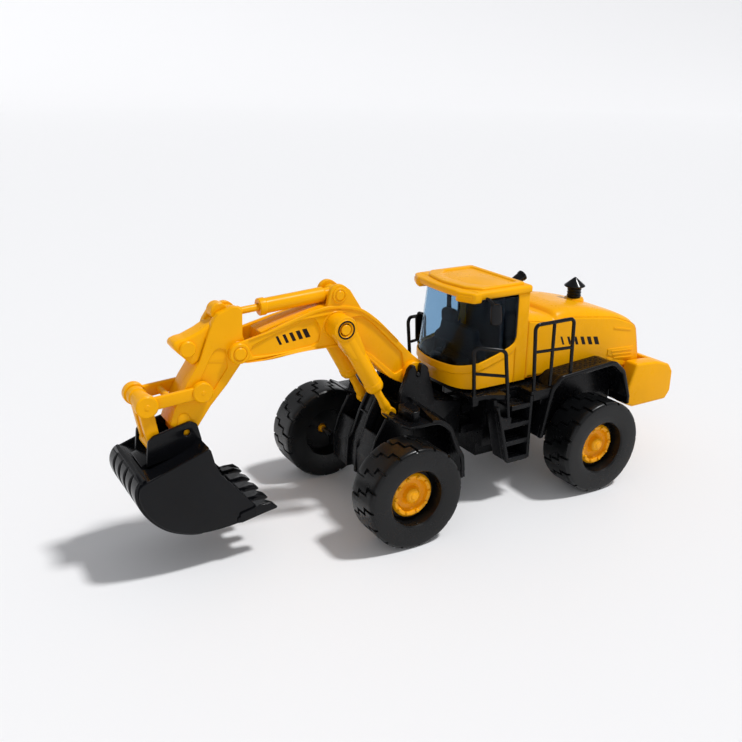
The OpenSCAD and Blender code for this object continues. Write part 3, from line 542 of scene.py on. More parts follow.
front_frame()
for side, s in SIDES:
    front_fender(side, s)
    front_lamp(side, s)
Build().pin(FOOT, -22.9, 22.9, PIN_R).piece("boom_foot_pin", "front_frame", "black_trim", ["boom_pin"])
Build().pin(LIFT_FOOT, 8.6, 31.3, PIN_R).both().piece("lift_foot_pins_round", "front_frame", "black_trim",
    ["lift_foot_pins"])


# ---- Decks, ladders and rails ----
def treads(b, x0, x1, y0, y1, z0, z1, pitch=3.1):
    """Raised lozenges of a tread plate, on a surface that runs from z0 at x0 to z1 at x1."""
    for i in range(int((x1 - x0) / pitch)):
        for j in range(int((y1 - y0) / pitch)):
            x, y = x0 + (i + 0.5) * pitch, y0 + (j + 0.5) * pitch
            z = z0 + (z1 - z0) * (x - x0) / (x1 - x0)
            a = math.radians(45 if (i + j) % 2 else -45)
            c, s = math.cos(a), math.sin(a)
            ring = []
            for length, wide, height in ((1.35, 0.5, -0.15), (1.35, 0.5, 0.05), (0.95, 0.22, 0.42)):
                corners = ((length, 0), (0, wide), (-length, 0), (0, -wide))
                ring += [(x + c * p - s * q, y + s * p + c * q, z + height) for p, q in corners]
            b.add(ring, [*skirt(3, 4), (3, 2, 1, 0), (8, 9, 10, 11)])


# Outer edge and top of the walkways
DECK_Y, DECK_Z = node_box("platform_left")[1][1:]


def platform(side, s):
    """The walkway, cut out over the ladder, with a tread plate on top."""
    b = Build()
    deck = [(19.5, 30.5), (19.5, 50.4, 1.5), (17, 51.2, 1.5), (6, 51.2, 3), (-9.5, 60, 2), (-12.9, 60, 1),
        (-12.9, 45.5, 1), (-33.4, 45.5, 1), (-33.4, DECK_Y, 1), (-55.2, DECK_Y, 1), (-55.2, 30.5)]
    b.slab(outline(deck), DECK_Z - 3, DECK_Z, 0.6, "z")
    b.slab(outline([(19.9, 44.5, 1), (19.9, 51, 1.5), (6, 51.7, 3), (-9.4, 60.6, 2), (-12.9, 60.6, 1),
        (-12.9, 59, 0.5), (-9.8, 59, 2), (5.6, 50, 3), (18.2, 49.6, 1), (18.2, 44.5, 0.5)]), DECK_Z - 3.4,
        DECK_Z + 0.7, 0.5, "z")
    b.block((-36, 30.5, 62), (-9, 33.5, DECK_Z - 2), 0.4)
    b.block((-53.8, DECK_Y - 3, DECK_Z - 9), (-35.7, DECK_Y, DECK_Z - 2), 0.5)
    b.block((13, 44.6, DECK_Z - 8), (19.3, 50.8, DECK_Z - 2), 0.5)
    treads(b, -53, -35.6, 43.5, DECK_Y - 2, DECK_Z, DECK_Z)
    treads(b, -11, 17.5, 43.5, 49.8, DECK_Z, DECK_Z)
    b.side(s).piece("platform_deck_" + side, "rear_frame", "black_frame", ["platform_" + side])


def ladder(side, s):
    """Four steps between two cheeks; the front cheek widens at the top into the foot of the handrail."""
    y0, y1 = 44.2, DECK_Y
    b = Build()
    web = [(3.2, 91.4, 1), (-0.2, 84, 3), (-4, 81, 4), (-8, 80, 3), (-13, 80, 1), (-13, 72, 1.5), (-5.6, 70, 2),
        (-13.9, 37.5, 1), (-10.5, 37.5, 1)]
    b.slab(outline(web), y1 - 3.4, y1, 0.8)
    b.slab(outline([(-1, 95.8), (2.5, 95.8), (-10.7, 38, 1), (-13.6, 38, 1)]), y0, 57.5, 0.5)
    b.slab(outline([(-1.2, 90), (1.8, 90), (-10.7, 38, 1), (-13.6, 38, 1)]), 56.5, y1 - 2.6, 0.5)
    b.slab(outline([(-35.5, 95.8), (-32.3, 95.8), (-32.3, 37.5, 1), (-35.5, 37.5, 1)]), y0, y1, 0.8)
    for z, front in ((39.5, -11.2), (55.7, -8), (71.9, -4), (88.1, -12.8)):
        b.block((-33.5, y0, z - 1.6), (front, y1 - 0.5, z + 1.0), 0.5)
        b.block((-33.5, y1 - 2.4, z - 2.8), (front, y1 - 0.2, z + 1.5), 0.7)
        for k in range(3):
            b.block((-31.5, y1 - 7 - k * 4, z + 0.8), (front - 2, y1 - 5.6 - k * 4, z + 1.5), 0.25)
    b.slab(outline([(0, 95.8), (-12.5, 38), (-34, 38), (-34, 95.8)]), y0, y0 + 2.4, 0.3)
    b.side(s).piece("ladder_steps_" + side, "rear_frame", "black_frame", ["ladder_" + side])


def rails(side, s):
    y, r = DECK_Y - 2.2, 1.65
    top = node_box("rear_rail_left")[1][2] - r
    b = Build().tube([(17.3, 49.3, DECK_Z - 0.6), (20.5, 50, 144), (-3.7, y, 140.4), (-10.6, 62.2, 79.4)], r, 5)
    b.tube([(19, 49.6, 120.5), (-6.3, y, 117.6)], r * 0.85)
    b.tube([(17.3, 49.4, DECK_Z + 0.6), (6.5, 48, DECK_Z + 0.6)], 1.2)
    b.side(s).piece("front_handrail_" + side, "rear_frame", "black_trim", ["front_rail_" + side])
    b = Build().tube([(-37, y, DECK_Z - 0.6), (-34, y, top), (-77, y, top), (-78, y, 107)], r, 4.5)
    b.tube([(-55, y, 100), (-55, y, top)], r * 0.95).tube([(-35.4, y, 134), (-77.4, y, 132)], r * 0.85)
    b.turned([(0, 0), (2.5, 0), (2.5, 0.7), (1.9, 1.5), (0, 1.5)], (-37, y, DECK_Z - 0.3), (0, 0, 1), 24)
    b.side(s).piece("rear_handrail_" + side, "rear_frame", "black_trim", ["rear_rail_" + side])


def rear_fender(side, s):
    """An angular mudguard with a thick rolled rim and a tread plate on top."""
    back = [(-45.5, 53, 1), (-49.5, 70, 9), (-56, 99.2, 5), (-66, 107.5, 8), (-125, 111, 6), (-131, 109.5, 6),
        (-142, 100, 8), (-151.5, 74, 4), (-151.5, 66, 1)]
    arch = [(-148.3, 66, 0.5), (-148.3, 73, 4), (-139.2, 98, 8), (-129.6, 106.4, 6), (-125, 107.8, 5),
        (-67, 104.3, 8), (-58.6, 96, 6), (-52.6, 70, 9), (-48.8, 54, 0.5)]
    rim = [(-44.9, 53, 1), (-48.8, 70.3, 9), (-55.4, 99.8, 5), (-65.7, 108.5, 8), (-125, 112, 6),
        (-131.6, 110.4, 6), (-143, 100.6, 8), (-152.4, 74, 4), (-152.4, 66, 1)]
    b = Build()
    b.slab(outline(back + arch), 42.6, 63, 0.4)
    b.slab(outline(rim + arch), 60.6, 66, 1.6, steps=5)
    wall = [(-45.5, 54), *back[1:-1], (-146, 74), (-146, 66), (-140, 62), (-98.2, 58), (-60, 54)]
    b.slab(outline(wall), 42.6, 44.5, 0.4)
    treads(b, -124, -67, 45.5, 61, 110.9, 107.6)
    treads(b, -84, -80, 45.5, 61, 108.5, 108.4)  # one more row across the middle
    b.block((-52, 46, 84), (-47.5, 60, 92), 0.6)
    b.side(s).piece("rear_fender_shell_" + side, "rear_frame", "black_frame", ["rear_fender_" + side])


for side, s in SIDES:
    platform(side, s)
    ladder(side, s)
    rails(side, s)
    rear_fender(side, s)


# ---- Cab ----
CAB_W = 42.5
CAB_REAR, PILLAR = -43.0, -31.0
SILL_Z, ROOF_Z = 102.0, 179.0
SILL = [(30, 121.4), (24, 122.2), (12, 124.8), (0, 127.6), (-14, 131.5), (-25, 135.6), (-29, 138.5), (PILLAR, 142)]
# Plans of the cab's left half at its foot, at the sill and under the roof, from the middle of the front
SIDE_X = (4, -1, -6, -11, -16, -20, -24, -27, -29, PILLAR + 0.01)
FOOT_PLAN = spline([(25.4, 0), (25.2, 7), (24.8, 14), (23.4, 24), (19.6, 33), (13.2, 39), (8, 41.7)], 3)
SILL_PLAN = spline([(29.4, 0), (29.0, 7), (28.2, 13.5), (25.4, 26), (21, 33.4), (14.4, 39.4), (8, CAB_W)], 3)
ROOF_PLAN = spline([(12.4, 0), (12.3, 8), (12.1, 16), (11.8, 25), (11, 33), (8, 38.4), (4.5, 41)], 3)


def shrink(plan, d):
    """The plan moved inwards by d, at right angles to its own line."""
    p = np.array(plan)
    t = unit(np.gradient(p, axis=0))
    return [tuple(q) for q in p + np.stack([-t[:, 1], t[:, 0]], 1) * d]


def with_sides(plan, y):
    return list(plan) + [(x, y) for x in SIDE_X]


def sill_z(x):
    xs, zs = zip(*sorted(SILL))
    return float(np.interp(x, xs, zs))


def both_halves(rows):
    """Columns of points up the cab's wall, from the right rear round the front to the left rear."""
    columns = list(zip(*rows))
    return [[(x, -y, z) for x, y, z in c] for c in reversed(columns[1:])] + [list(c) for c in columns]


def cab_grid(levels):
    """A wall through plans, each with its height or its height by x."""
    return both_halves([[(x, y, z(x) if callable(z) else z) for x, y in plan] for plan, z in levels])


def mirrored(points):
    """A closed plan from its left half, which starts on the centre line."""
    return np.array(points + [(x, -y) for x, y in reversed(points[1:])])


def cab():
    """Lower shell with a bright band under the glass, a door pillar, and the glass itself."""
    foot, sill = with_sides(FOOT_PLAN, 41.7), with_sides(SILL_PLAN, CAB_W)
    step = with_sides(shrink(SILL_PLAN, 1.3), CAB_W - 1.0)
    mid = [((a[0] + c[0]) / 2, (a[1] + c[1]) / 2) for a, c in zip(foot, step)]
    lip = [(x - 0.7, y) if x > SILL_PLAN[-1][0] else (x, y - 0.7) for x, y in sill]
    levels = [(foot, SILL_Z), (mid, lambda x: (SILL_Z + sill_z(x) - 8) / 2), (step, lambda x: sill_z(x) - 8.2),
        (sill, lambda x: sill_z(x) - 6.6), (sill, lambda x: sill_z(x) - 0.9), (lip, sill_z)]
    b = Build().sheet(cab_grid(levels), 2.2)
    rear = outline([(PILLAR + 0.6, SILL_Z), (PILLAR + 0.6, 143, 2), (PILLAR, 147, 3), (PILLAR, ROOF_Z + 1.6),
        (CAB_REAR, ROOF_Z + 1.6), (CAB_REAR, SILL_Z)])
    b.pair(rear, 40.1, CAB_W, 0.7)
    b.block((CAB_REAR, -41, SILL_Z), (CAB_REAR + 2.4, 41, ROOF_Z + 1.6), 0.5)
    b.block((CAB_REAR + 1, -40.6, SILL_Z), (12, 40.6, SILL_Z + 2.6), 0.6)
    b.slab(outline([(12, -38, 2), (20, -30, 6), (24, -12, 6), (24, 12, 6), (20, 30, 6), (12, 38, 2)]), SILL_Z,
        SILL_Z + 2.4, 0.6, "z")
    b.piece("cab_body", "rear_frame", "yellow", ["cab_shell"], sharp=30)
    base, top = with_sides(shrink(SILL_PLAN, 1.2), CAB_W - 1), with_sides(ROOF_PLAN, CAB_W - 1)
    low = np.array([(x, y, sill_z(x) - 1.4) for x, y in base])
    high = np.array([(x, y, ROOF_Z + 1) for x, y in top])
    glass = both_halves([low + (high - low) * f for f in np.linspace(0, 1, 11)])
    Build().sheet(glass, 1.2).piece("cab_glass", "rear_frame", "glazing", ["cab_glazing"])
    # Dark gasket under the roof and down the rear pillar
    b = Build()
    b.slab(mirrored([*top, (CAB_REAR + 2.4, CAB_W - 1)]), ROOF_Z - 0.3, ROOF_Z + 2, 0.3, "z")
    for s in (1, -1):
        b.tube([(PILLAR + 0.9, s * 41.4, 142), (PILLAR + 0.9, s * 41.4, ROOF_Z)], 1.0, 0)
    b.piece("cab_gasket", "rear_frame", "black_trim")


def roof():
    """Flat roof with softened shoulders, two lamp pods at the front corners and a visor between them."""
    x0, h = CAB_REAR - 2, 44.0
    b = Build()
    b.slab(outline([(x0, -h, 3), (15, -h, 2), (15, h, 2), (x0, h, 3)]), ROOF_Z + 1.5, ROOF_Z + 8.4, 2.3, "z", 5)
    visor = outline([(10, -29, 1), (24, -29, 2), (25.6, -14, 20), (26, 0, 30), (25.6, 14, 20), (24, 29, 2),
        (10, 29, 1)])
    b.slab(visor, ROOF_Z + 2.5, ROOF_Z + 8.2, 2.0, "z", 5)
    # A raised frame on top, and a lower panel inside it
    panel = outline([(x0 + 4.5, -h + 5.5, 3), (6, -h + 5.5, 6), (15, -h + 18, 8), (19, 0, 40), (15, h - 18, 8),
        (6, h - 5.5, 6), (x0 + 4.5, h - 5.5, 3)])
    well = outline([(x0 + 10, -h + 12, 3), (-6, -h + 12, 8), (5, -h + 24, 10), (8, 0, 40), (5, h - 24, 10),
        (-6, h - 12, 8), (x0 + 10, h - 12, 3)])
    b.slab([panel, well], ROOF_Z + 6, ROOF_Z + 10.4, 1.6, "z", 5)
    b.slab(inset(well, -1.5), ROOF_Z + 6, ROOF_Z + 9.2, 0.8, "z", 4)
    for s in (1, -1):
        pod = [(10, s * 25, 1), (24.9, s * 26.6, 1.6), (24.3, s * 31, 3), (18.4, s * 43.2, 2.4),
            (16.4, s * 44.5, 1.6), (10, s * 44.5, 1)]
        b.slab(outline(pod), ROOF_Z - 0.6, ROOF_Z + 8.0, 1.7, "z", 4)
        lens = outline([(24.6, s * 28, 1), (25.4, s * 30.6, 1), (19.8, s * 42.4, 1), (18.4, s * 41.6, 1)])
        b.slab(lens, ROOF_Z + 1.2, ROOF_Z + 5.6, 0.7, "z")
    b.piece("cab_roof_panel", "rear_frame", "yellow", ["cab_roof"])


def cabin_inside():
    """Floor, rear wall, door pillars, a console, one wide seat moulding and the wheel."""
    b = Build()
    inner = with_sides(shrink(FOOT_PLAN, 3.4), CAB_W - 4.2)
    b.slab(mirrored([*inner, (-40, 38.3)]), SILL_Z + 2.8, SILL_Z + 7, 0.5, "z")
    foot, sill = with_sides(shrink(FOOT_PLAN, 3), 38.6), with_sides(shrink(SILL_PLAN, 3), 39.4)
    b.sheet(cab_grid([(foot, SILL_Z + 5), (sill, lambda x: sill_z(x) - 2.2)]), 0.5)
    b.block((-40.4, -39.8, SILL_Z + 6.5), (-37.2, 39.8, ROOF_Z - 0.4), 0.5)
    for s in (1, -1):
        b.block((-18.6, s * 38.2 - 1.2, SILL_Z + 6.5), (-14.6, s * 38.2 + 1.2, ROOF_Z - 0.4), 0.7)
    b.slab(outline([(13.5, SILL_Z + 6, 1), (14, 122, 2), (19, 124, 2), (21, 119, 2), (20, SILL_Z + 6, 1)]), -12.5,
        12.5, 1.0)
    b.piece("cab_inside", "rear_frame", "interior", ["cab_interior"])
    b = Build()
    b.block((-12, -16, SILL_Z + 6.8), (11, 16, 117), 1.5)
    b.slab(outline([(-6, 116, 2), (-6, 122, 2), (10, 122.6, 3), (13, 119, 2), (12, 116, 1)]), -20, 20, 2.2, steps=5)
    back = outline([(-34, SILL_Z + 7, 2), (34, SILL_Z + 7, 2), (34, 133, 7), (26, 139, 6), (24, 148.8, 5),
        (-24, 148.8, 5), (-26, 139, 6), (-34, 133, 7)])
    b.slab(back, -5, 2, 1.8, "x", 5)
    b.slab(outline([(-24, 147, 2), (-5, 147, 2), (-5, 159, 5), (-24, 159, 5)]), -4.6, 2.6, 2.4, "x", 5)
    for y in (-16, 16):
        b.slab(rect(y - 10, 127, y + 10, 129), 1.4, 2.8, 0.5, "x")
    b.piece("moulded_seat", "rear_frame", "interior", ["seat"])
    tilt = (-math.sin(math.radians(25)), 0, math.cos(math.radians(25)))
    centre = (12.6, 0, 134.2)
    b = Build().tube([(16.8, 0, 123), centre], 1.5)
    b.turned(circle((6.2, 0), 0.9, 10), centre, tilt, 36, ring=True)
    b.turned([(0, -1), (2.2, -1), (2.6, 0), (2.0, 1.1), (0, 1.3)], centre, tilt, 24)
    for d in (np.array([0, 1, 0]), np.array([0, -1, 0]), np.cross((0, 1, 0), tilt)):
        b.tube([np.array(centre) + d * 1.5, np.array(centre) + d * 6], 0.8)
    b.piece("steering_rim", "rear_frame", "interior", ["steering_wheel"])


def mirrors():
    """The left one hangs from the roof's edge, the right one stands on the sill and leans on the glass."""
    b = Build().tube([(6, 44.6, ROOF_Z + 3), (6, 49, ROOF_Z + 3), (3, 52.5, ROOF_Z - 2)], 1.3, 2.5)
    b.slab(outline([(-4.5, 160.3, 3), (6.2, 161.5, 3), (7.4, 179.0, 3), (-3.0, 178.4, 3.5)]), 51, 54, 1.1, steps=4)
    b.slab(outline([(-3.3, 162, 2), (5.2, 162.8, 2), (6.0, 177.4, 2), (-2.0, 177.0, 2)]), 50.7, 51.6, 0.2)
    b.piece("mirror_head_left", "rear_frame", "black_trim", ["mirror_left"])
    b = Build().tube([(10, -42.2, 117.5), (10.3, -46, 118.5), (9.6, -49, 123)], 1.2, 3)
    b.tube([(10, -49, 144), (10.4, -48.4, 148), (10, -41.2, 148.6)], 1.2, 3)
    b.slab(outline([(5.6, 121, 2.5), (12, 120, 2.5), (13, 146, 3), (5, 146.8, 3)]), -50.4, -47.8, 1.0, steps=4)
    b.piece("mirror_head_right", "rear_frame", "black_trim", ["mirror_right"])


cab()
roof()
cabin_inside()
mirrors()


# ---- Hood, stack, pipe and counterweight ----
def hood():
    """A crowned cover with a step across it, between two flat sides; open underneath."""
    h = CAB_W
    # Along the length: x, height on the centre line, height of the shoulder
    spine = [(-43.3, 162, 155.4), (-52, 160, 153.8), (-62, 157.6, 152), (-70, 155.6, 150.4), (-73.4, 155, 150),
        (-75, 155.4, 150.2), (-76.4, 157, 150.8), (-77.8, 158.4, 151.4), (-79.6, 158.9, 152), (-84, 159.5, 152.2),
        (-92, 160, 152), (-97, 159.6, 151.5), (-108, 158.3, 150), (-120, 156.2, 148.4), (-133, 153, 146.6),
        (-146, 149.6, 144.8), (-157, 146, 141.2), (-166, 142.2, 137.8), (-171, 139.4, 135.8), (-174.6, 135.8, 133),
        (-176.8, 131, 129), (-178.8, 122, 121), (-181, 111, 111), (-183.4, 99.4, 99.4), (-185.8, 87.6, 87.6),
        (-187.6, 79, 79)]
    across = [(0, 1), (10, 1), (20, 0.99), (29, 0.95), (33.5, 0.84), (36.5, 0.64), (39, 0.32), (40.6, 0.0)]
    across = [(-y, f) for y, f in reversed(across[1:])] + across
    grid = [[(x, y, low + (high - low) * f) for y, f in across] for x, high, low in spine]
    b = Build().sheet(grid, -2.6)
    shoulder = [(x, low) for x, _, low in spine]
    edge = [*shoulder, (-140, 79, 1), (-140, 99, 1), (-60, 103, 1), (-43.3, 103, 1)]
    b.pair(outline(edge), h - 3, h, 2.2, 5)
    # A louvre field with three slats, a grip line above it and a flange below it, as thin steps on the side
    for proud, points in ((0.6, [(-141.4, 114.6), (-174.7, 112.8), (-178, 97.6), (-141.2, 108.6)]),
            (0.5, [(-146.7, 135.4), (-169.4, 130.2), (-169.8, 128.4), (-146.7, 133.4)]),
            (0.5, [(-141.4, 106.4), (-150, 104.2), (-180.6, 93), (-181.2, 90), (-141.4, 101.4)])):
        b.pair(outline(points, 0.7), h - 0.6, h + proud, 0.3)
    for k in range(3):
        x, front, rear = -146 - k * 1.6, 111 - k * 3.4, 109.2 - k * 3.6
        b.pair(outline([(x, front + 1.2), (-172.5, rear + 1.2), (-172.9, rear), (x, front)], 0.3), h + 0.3, h + 1.1,
            0.25)
    b.block((-48, -h + 2, 103), (-43.4, h - 2, 154), 0.5)
    b.turned([(0, 138), (9.6, 138), (9.6, 153.4), (9.0, 154.4), (8.7, 155.4), (0, 155.4)], (-134, 0, 0), (0, 0, 1),
        48, 0.4)
    b.piece("hood_cover", "rear_frame", "yellow", ["hood"], sharp=30)


def slanted_bars(name, body, x0, x1, z0, slope, height, y, count, s, out=lambda x: 0):
    """Generic printed stripes: slanted bars along a line, a hair proud of the surface."""
    b = Build()
    step = (x1 - x0) / count
    for k in range(count):
        x = x0 + k * step
        z = z0 + slope * (x - x0)
        w = step * (0.62 - 0.07 * k)
        lean = height * 0.45
        foot = [(x + d, z + slope * d) for d in (0, w)]
        head = [(x + d, z + slope * d + height) for d in (w + lean, lean)]
        b.slab(outline(foot + head), y - 0.1, y + 0.07, 0.03, steps=1)
    b.verts = [(x, y + out(x), z) for x, y, z in b.verts]
    b.side(s).piece(name, body, "black_trim", material=PRINT)


def stack_and_pipe():
    ribs = [(r, 156.6 + k * 2.9 + d) for k in range(3) for r, d in ((6.1, 0), (6.6, 0.35), (6.6, 1.7), (6.1, 2.1))]
    b = Build().turned([(0, 150), (6.1, 150), *ribs, (6.6, 165.4), (9.0, 165.9), (9.9, 166.6), (9.6, 167.4),
        (1.6, 174.2), (0.6, 174.9), (0, 175)], (-134, 0, 0), (0, 0, 1), 48, 0.25)
    b.piece("stack", "rear_frame", "black_trim", ["exhaust_stack"])
    b = Build().tube([(-71, -26, 152), (-76, -26, 167), (-92, -26, 176.3)], 4.6, 10, n=28, end=0.15)
    d = unit(np.array([-16.0, 0, 9.3]))
    b.turned([(4.2, -1.5), (5.1, -1.5), (5.2, 0.8), (4.9, 1.2), (3.9, 1.2), (3.7, 0.6)],
        np.array([-92, -26, 176.3]) - d, d, 36, ring=True)
    b.turned([(0, -1), (5.6, -1), (5.8, 0), (5.2, 1.4), (0, 1.4)], (-72.6, -26, 158.4), (-0.32, 0, 1), 32)
    b.piece("pipe", "rear_frame", "black_trim", ["air_pipe"])


def counterweight():
    b = Build()
    body = outline([(-155.6, 62, 2), (-155.6, 78, 3), (-164, 101, 3), (-192, 99, 4), (-208, 94, 5), (-213.8, 86, 5),
        (-213.8, 66, 5), (-208, 58.2, 3), (-164, 58.2, 3)])
    b.pair(body, 44.2, 60, 2.2, 5)
    b.slab(outline([(-193.4, 60, 1), (-193.4, 99, 2), (-208, 94, 5), (-213.8, 86, 5), (-213.8, 66, 5),
        (-208, 58.2, 3)]), -50, 50, 1.2)
    b.slab(rect(-196, 62, -178, 78, 2), -50, 50, 1.0)
    for y in (-26, 26):
        b.slab(rect(y - 14, 68, y + 14, 82, 2), -214.4, -212, 0.5, "x")
    b.piece("counterweight_block", "rear_frame", "yellow", ["counterweight"])


hood()
stack_and_pipe()
counterweight()


# ---- Boom ----
TOP = spline([(45.4, 124), (56.7, 133.6), (69.6, 146.9), (82.3, 160.3), (92.1, 169.7), (102.8, 177.7),
    (112.2, 181.5), (123.7, 184), (135, 184.7), (146.1, 183.4), (157.1, 180.9), (173.3, 177.1), (189.2, 172.8),
    (203.8, 169.5)], 3)
UNDER = spline([(206.6, 151.4), (184.8, 150.6), (163.2, 151.2), (135.2, 150.9), (122.7, 149.2), (110, 144),
    (96, 133), (81.9, 119.3), (73.4, 112.8), (60.5, 106.2)], 3)
PANEL_FRONT = [(143.5, 157, 3), (150, 154.6, 2), (160, 154.2), (170, 154.0), (180, 154.1), (190, 154.6),
    (200.8, 155.4, 1), (203, 159.5, 1), (200.8, 163.6, 1), (190, 167.6), (180, 170.2), (170, 172.6),
    (158, 175.4, 6), (146.5, 177, 4), (141, 166, 12)]
PANEL_REAR = [(63, 121.5, 2), (72, 117.6, 3), (95, 138.5, 12), (104, 145, 8), (112.5, 149.5, 3), (114.5, 160, 16),
    (114, 172.5, 3), (104, 172.4, 8), (94, 164.6, 12), (66, 135.5, 3)]


HIDDEN = 0.06  # a core stays this far inside the skin that covers it
FLARE_X = 156  # where the boom starts to spread


def spread(x):
    """How far the boom's outer skin stands out towards the fork."""
    return 4.3 * min(1, max(0, (x - FLARE_X) / 34))


def band(points, width):
    """Outline of a strip that lies under an open curve run left to right, or over one run right to left."""
    t = unit(np.gradient(points, axis=0))
    n = np.stack([t[:, 1], -t[:, 0]], 1)
    taper = np.minimum(1, np.linspace(0, 1, len(points)) * 6) * np.minimum(1, np.linspace(1, 0, len(points)) * 6)
    return np.concatenate([points, (points + n * width * np.maximum(taper, 0.25)[:, None])[::-1]])


def boom(side, s):
    """Half of the boom: a thick core, and an outer skin with two sunk panels that spreads out into the fork."""
    h, floor = 11.5, 10.1
    nose = arc(STICK, 8.3, 1.5, -1.5, 11)
    foot_end = [(55, 105.4), (50.5, 107.5), (47.2, 112)]
    core = outline([*TOP[:-4], (191.9, 171.7, 1), (191.9, 150.7, 1), *UNDER[3:], *foot_end])[::-1]
    b = Build().slab(inset(core, HIDDEN), 0.04, floor, 0.35)
    skin = Build().slab([outline([*TOP, *nose, *UNDER, *foot_end]), outline(PANEL_FRONT), outline(PANEL_REAR)],
        h - 2.4, h, 0.9, steps=4)
    top, under = np.array(TOP), np.array(UNDER[::-1])
    skin.sheet([[(x, floor, np.interp(x, *top.T) - 0.8), (x, floor, np.interp(x, *under.T) + 0.8)]
        for x in (FLARE_X, 164, 172, 180, 190, 197, 203)], 1.6)
    skin.slab(band(np.array(TOP[6:]), 3.0), h - 2, h + 0.8, 0.7, steps=4)
    skin.slab(band(np.array(UNDER[:-4]), 2.0), h - 2, h + 0.5, 0.45)
    b.add([(x, y + spread(x), z) for x, y, z in skin.verts], skin.faces)
    b.turned([(0, 12.3), (8, 12.3), (8, 16.4), (7.3, 17.2), (5.6, 17.2), (5.6, 16.6), (0, 16.6)], at(STICK, 0))
    # Lug for the stick cylinder
    lug = outline([(103, 176), (115, 195.2, 3), *arc(LUG, 8.5, 2.3, 0.1, 10), (136.5, 182)])
    b.slab(lug, 7.05, h, 0.9, steps=4)
    b.turned([(0, 7.1), (6.2, 7.1), (6.2, h + 0.9), (5.6, h + 1.4), (4.6, h + 1.4), (4.6, h + 0.9), (0, h + 0.9)],
        at(LUG, 0), n=40)
    # Foot and lift bosses
    b.turned([(0, 0.1), (9, 0.1), (9, 15.8), (8.3, 16.5), (0, 16.5)], at(FOOT, 0))
    b.turned([(0, 8), (11.4, 8), (11.4, h - 0.2), (10.6, h + 0.7), (0, h + 0.7)], at(LIFT_HEAD, 0), n=56)
    b.side(s).piece("boom_shell_" + side, "boom", "yellow", ["boom_" + side])


def boom_pins():
    b = Build().pin(STICK, -18.2, 18.2, 5.0, 0.9).pin(LUG, -13.6, 13.6, 4.0, 0.8).pin(LIFT_HEAD, -29.4, 29.4, 4.2)
    b.piece("boom_caps", "boom", "yellow", ["boom_pins"])


def lift_cylinder(side, s):
    axis = unit(at(LIFT_FOOT, 0) - at(LIFT_HEAD, 0))
    r = 7.2
    head = [at(LIFT_HEAD, 0), (0, 1, 0)]
    b = Build()
    b.turned([(5.15, 13.0), (9.8, 13.0), (10.3, 13.6), (10.3, 27.6), (9.6, 28.6), (5.5, 28.6), (5.15, 28.2)], *head,
        n=56, ring=True)
    b.turned([(5.3, 28.5), (6.0, 29.2), (7.6, 29.2), (8.4, 28.5), (6.5, 27.9)], *head, n=56, ring=True)
    # Neck that widens from the barrel to the head, clear of the head's bore
    u = unit(LIFT_FOOT - LIFT_HEAD)
    heading, across = math.atan2(u[1], u[0]), 9.2 * np.array([-u[1], u[0]])
    neck = [*arc(LIFT_HEAD, 5.6, heading + 0.8, heading - 0.8, 9), LIFT_HEAD + 4.5 * u - across,
        *arc(LIFT_HEAD + 24 * u, 7, heading - 1.5, heading + 1.5, 11), LIFT_HEAD + 4.5 * u + across]
    b.slab(np.array(neck), LIFT_Y - 6.6, LIFT_Y + 6.6, 2.2, steps=4)
    b.turned([(0, 10), (r, 10), (r, 57), (r + 0.5, 58), (r + 0.5, 62.5), (r - 0.6, 65), (4.2, 66.2), (3.55, 66.2),
        (3.55, 60), (0, 60)], at(LIFT_HEAD, LIFT_Y), axis, 44, 0.35)
    b.side(s).piece("lift_barrel_shell_" + side, "lift_barrel_" + side, "yellow", ["lift_barrel_" + side])
    b = Build().eye(LIFT_FOOT, LIFT_Y, 4, 2.06, 5.2, 0.6, 36)
    b.turned([(0, 2.2), (4.2, 2.2), (4.2, 9), (3.3, 15), (3.3, 50), (0, 50)], at(LIFT_FOOT, LIFT_Y), -axis, 32, 0.4)
    b.side(s).piece("lift_rod_bar_" + side, "lift_rod_" + side, "yellow", ["lift_rod_" + side])
    ring = Build().turned([(6.1, 29.1), (7.5, 29.1), (7.5, 29.36), (6.1, 29.36)], *head, n=56, ring=True).side(s)
    ring.piece("boss_ring_" + side, "lift_barrel_" + side, "black_trim", material=PRINT)


def stick_cylinder():
    d = unit(at(ROD_EYE, 0) - at(LUG, 0))
    b = Build().turned([(2.06, -6.2), (4.9, -6.2), (5.6, -5.6), (5.6, 5.6), (4.9, 6.2), (2.06, 6.2)], at(LUG, 0),
        n=40, ring=True)
    b.turned([(0, 3), (4.6, 3), (4.6, 8), (6, 9.6), (6, 58.6), (6.8, 59.2), (6.8, 63.6), (6.2, 64.2), (3.1, 64.2),
        (3.1, 58), (0, 58)], at(LUG, 0), d, 44, 0.3)
    b.piece("stick_barrel_shell", "stick_barrel", "yellow", ["stick_barrel"])
    b = Build().eye(ROD_EYE, 0, 5, 3.5, 6, 0.7, 40)
    b.turned([(0, 4.6), (4.2, 4.6), (4.2, 8), (2.8, 10.5), (2.8, 56), (0, 56)], at(ROD_EYE, 0), -d, 32, 0.3)
    b.piece("stick_rod_bar", "stick_rod", "yellow", ["stick_rod"])


for side, s in SIDES:
    boom(side, s)
    lift_cylinder(side, s)
    slanted_bars("boom_stripes_" + side, "boom", 150, 182, 161.8, -0.06, 7.5, 10.12, 5, s, spread)
    slanted_bars("hood_stripes_" + side, "rear_frame", -130, -78, 121, 0.15, 7.5, CAB_W, 6, s)
boom_pins()
stick_cylinder()


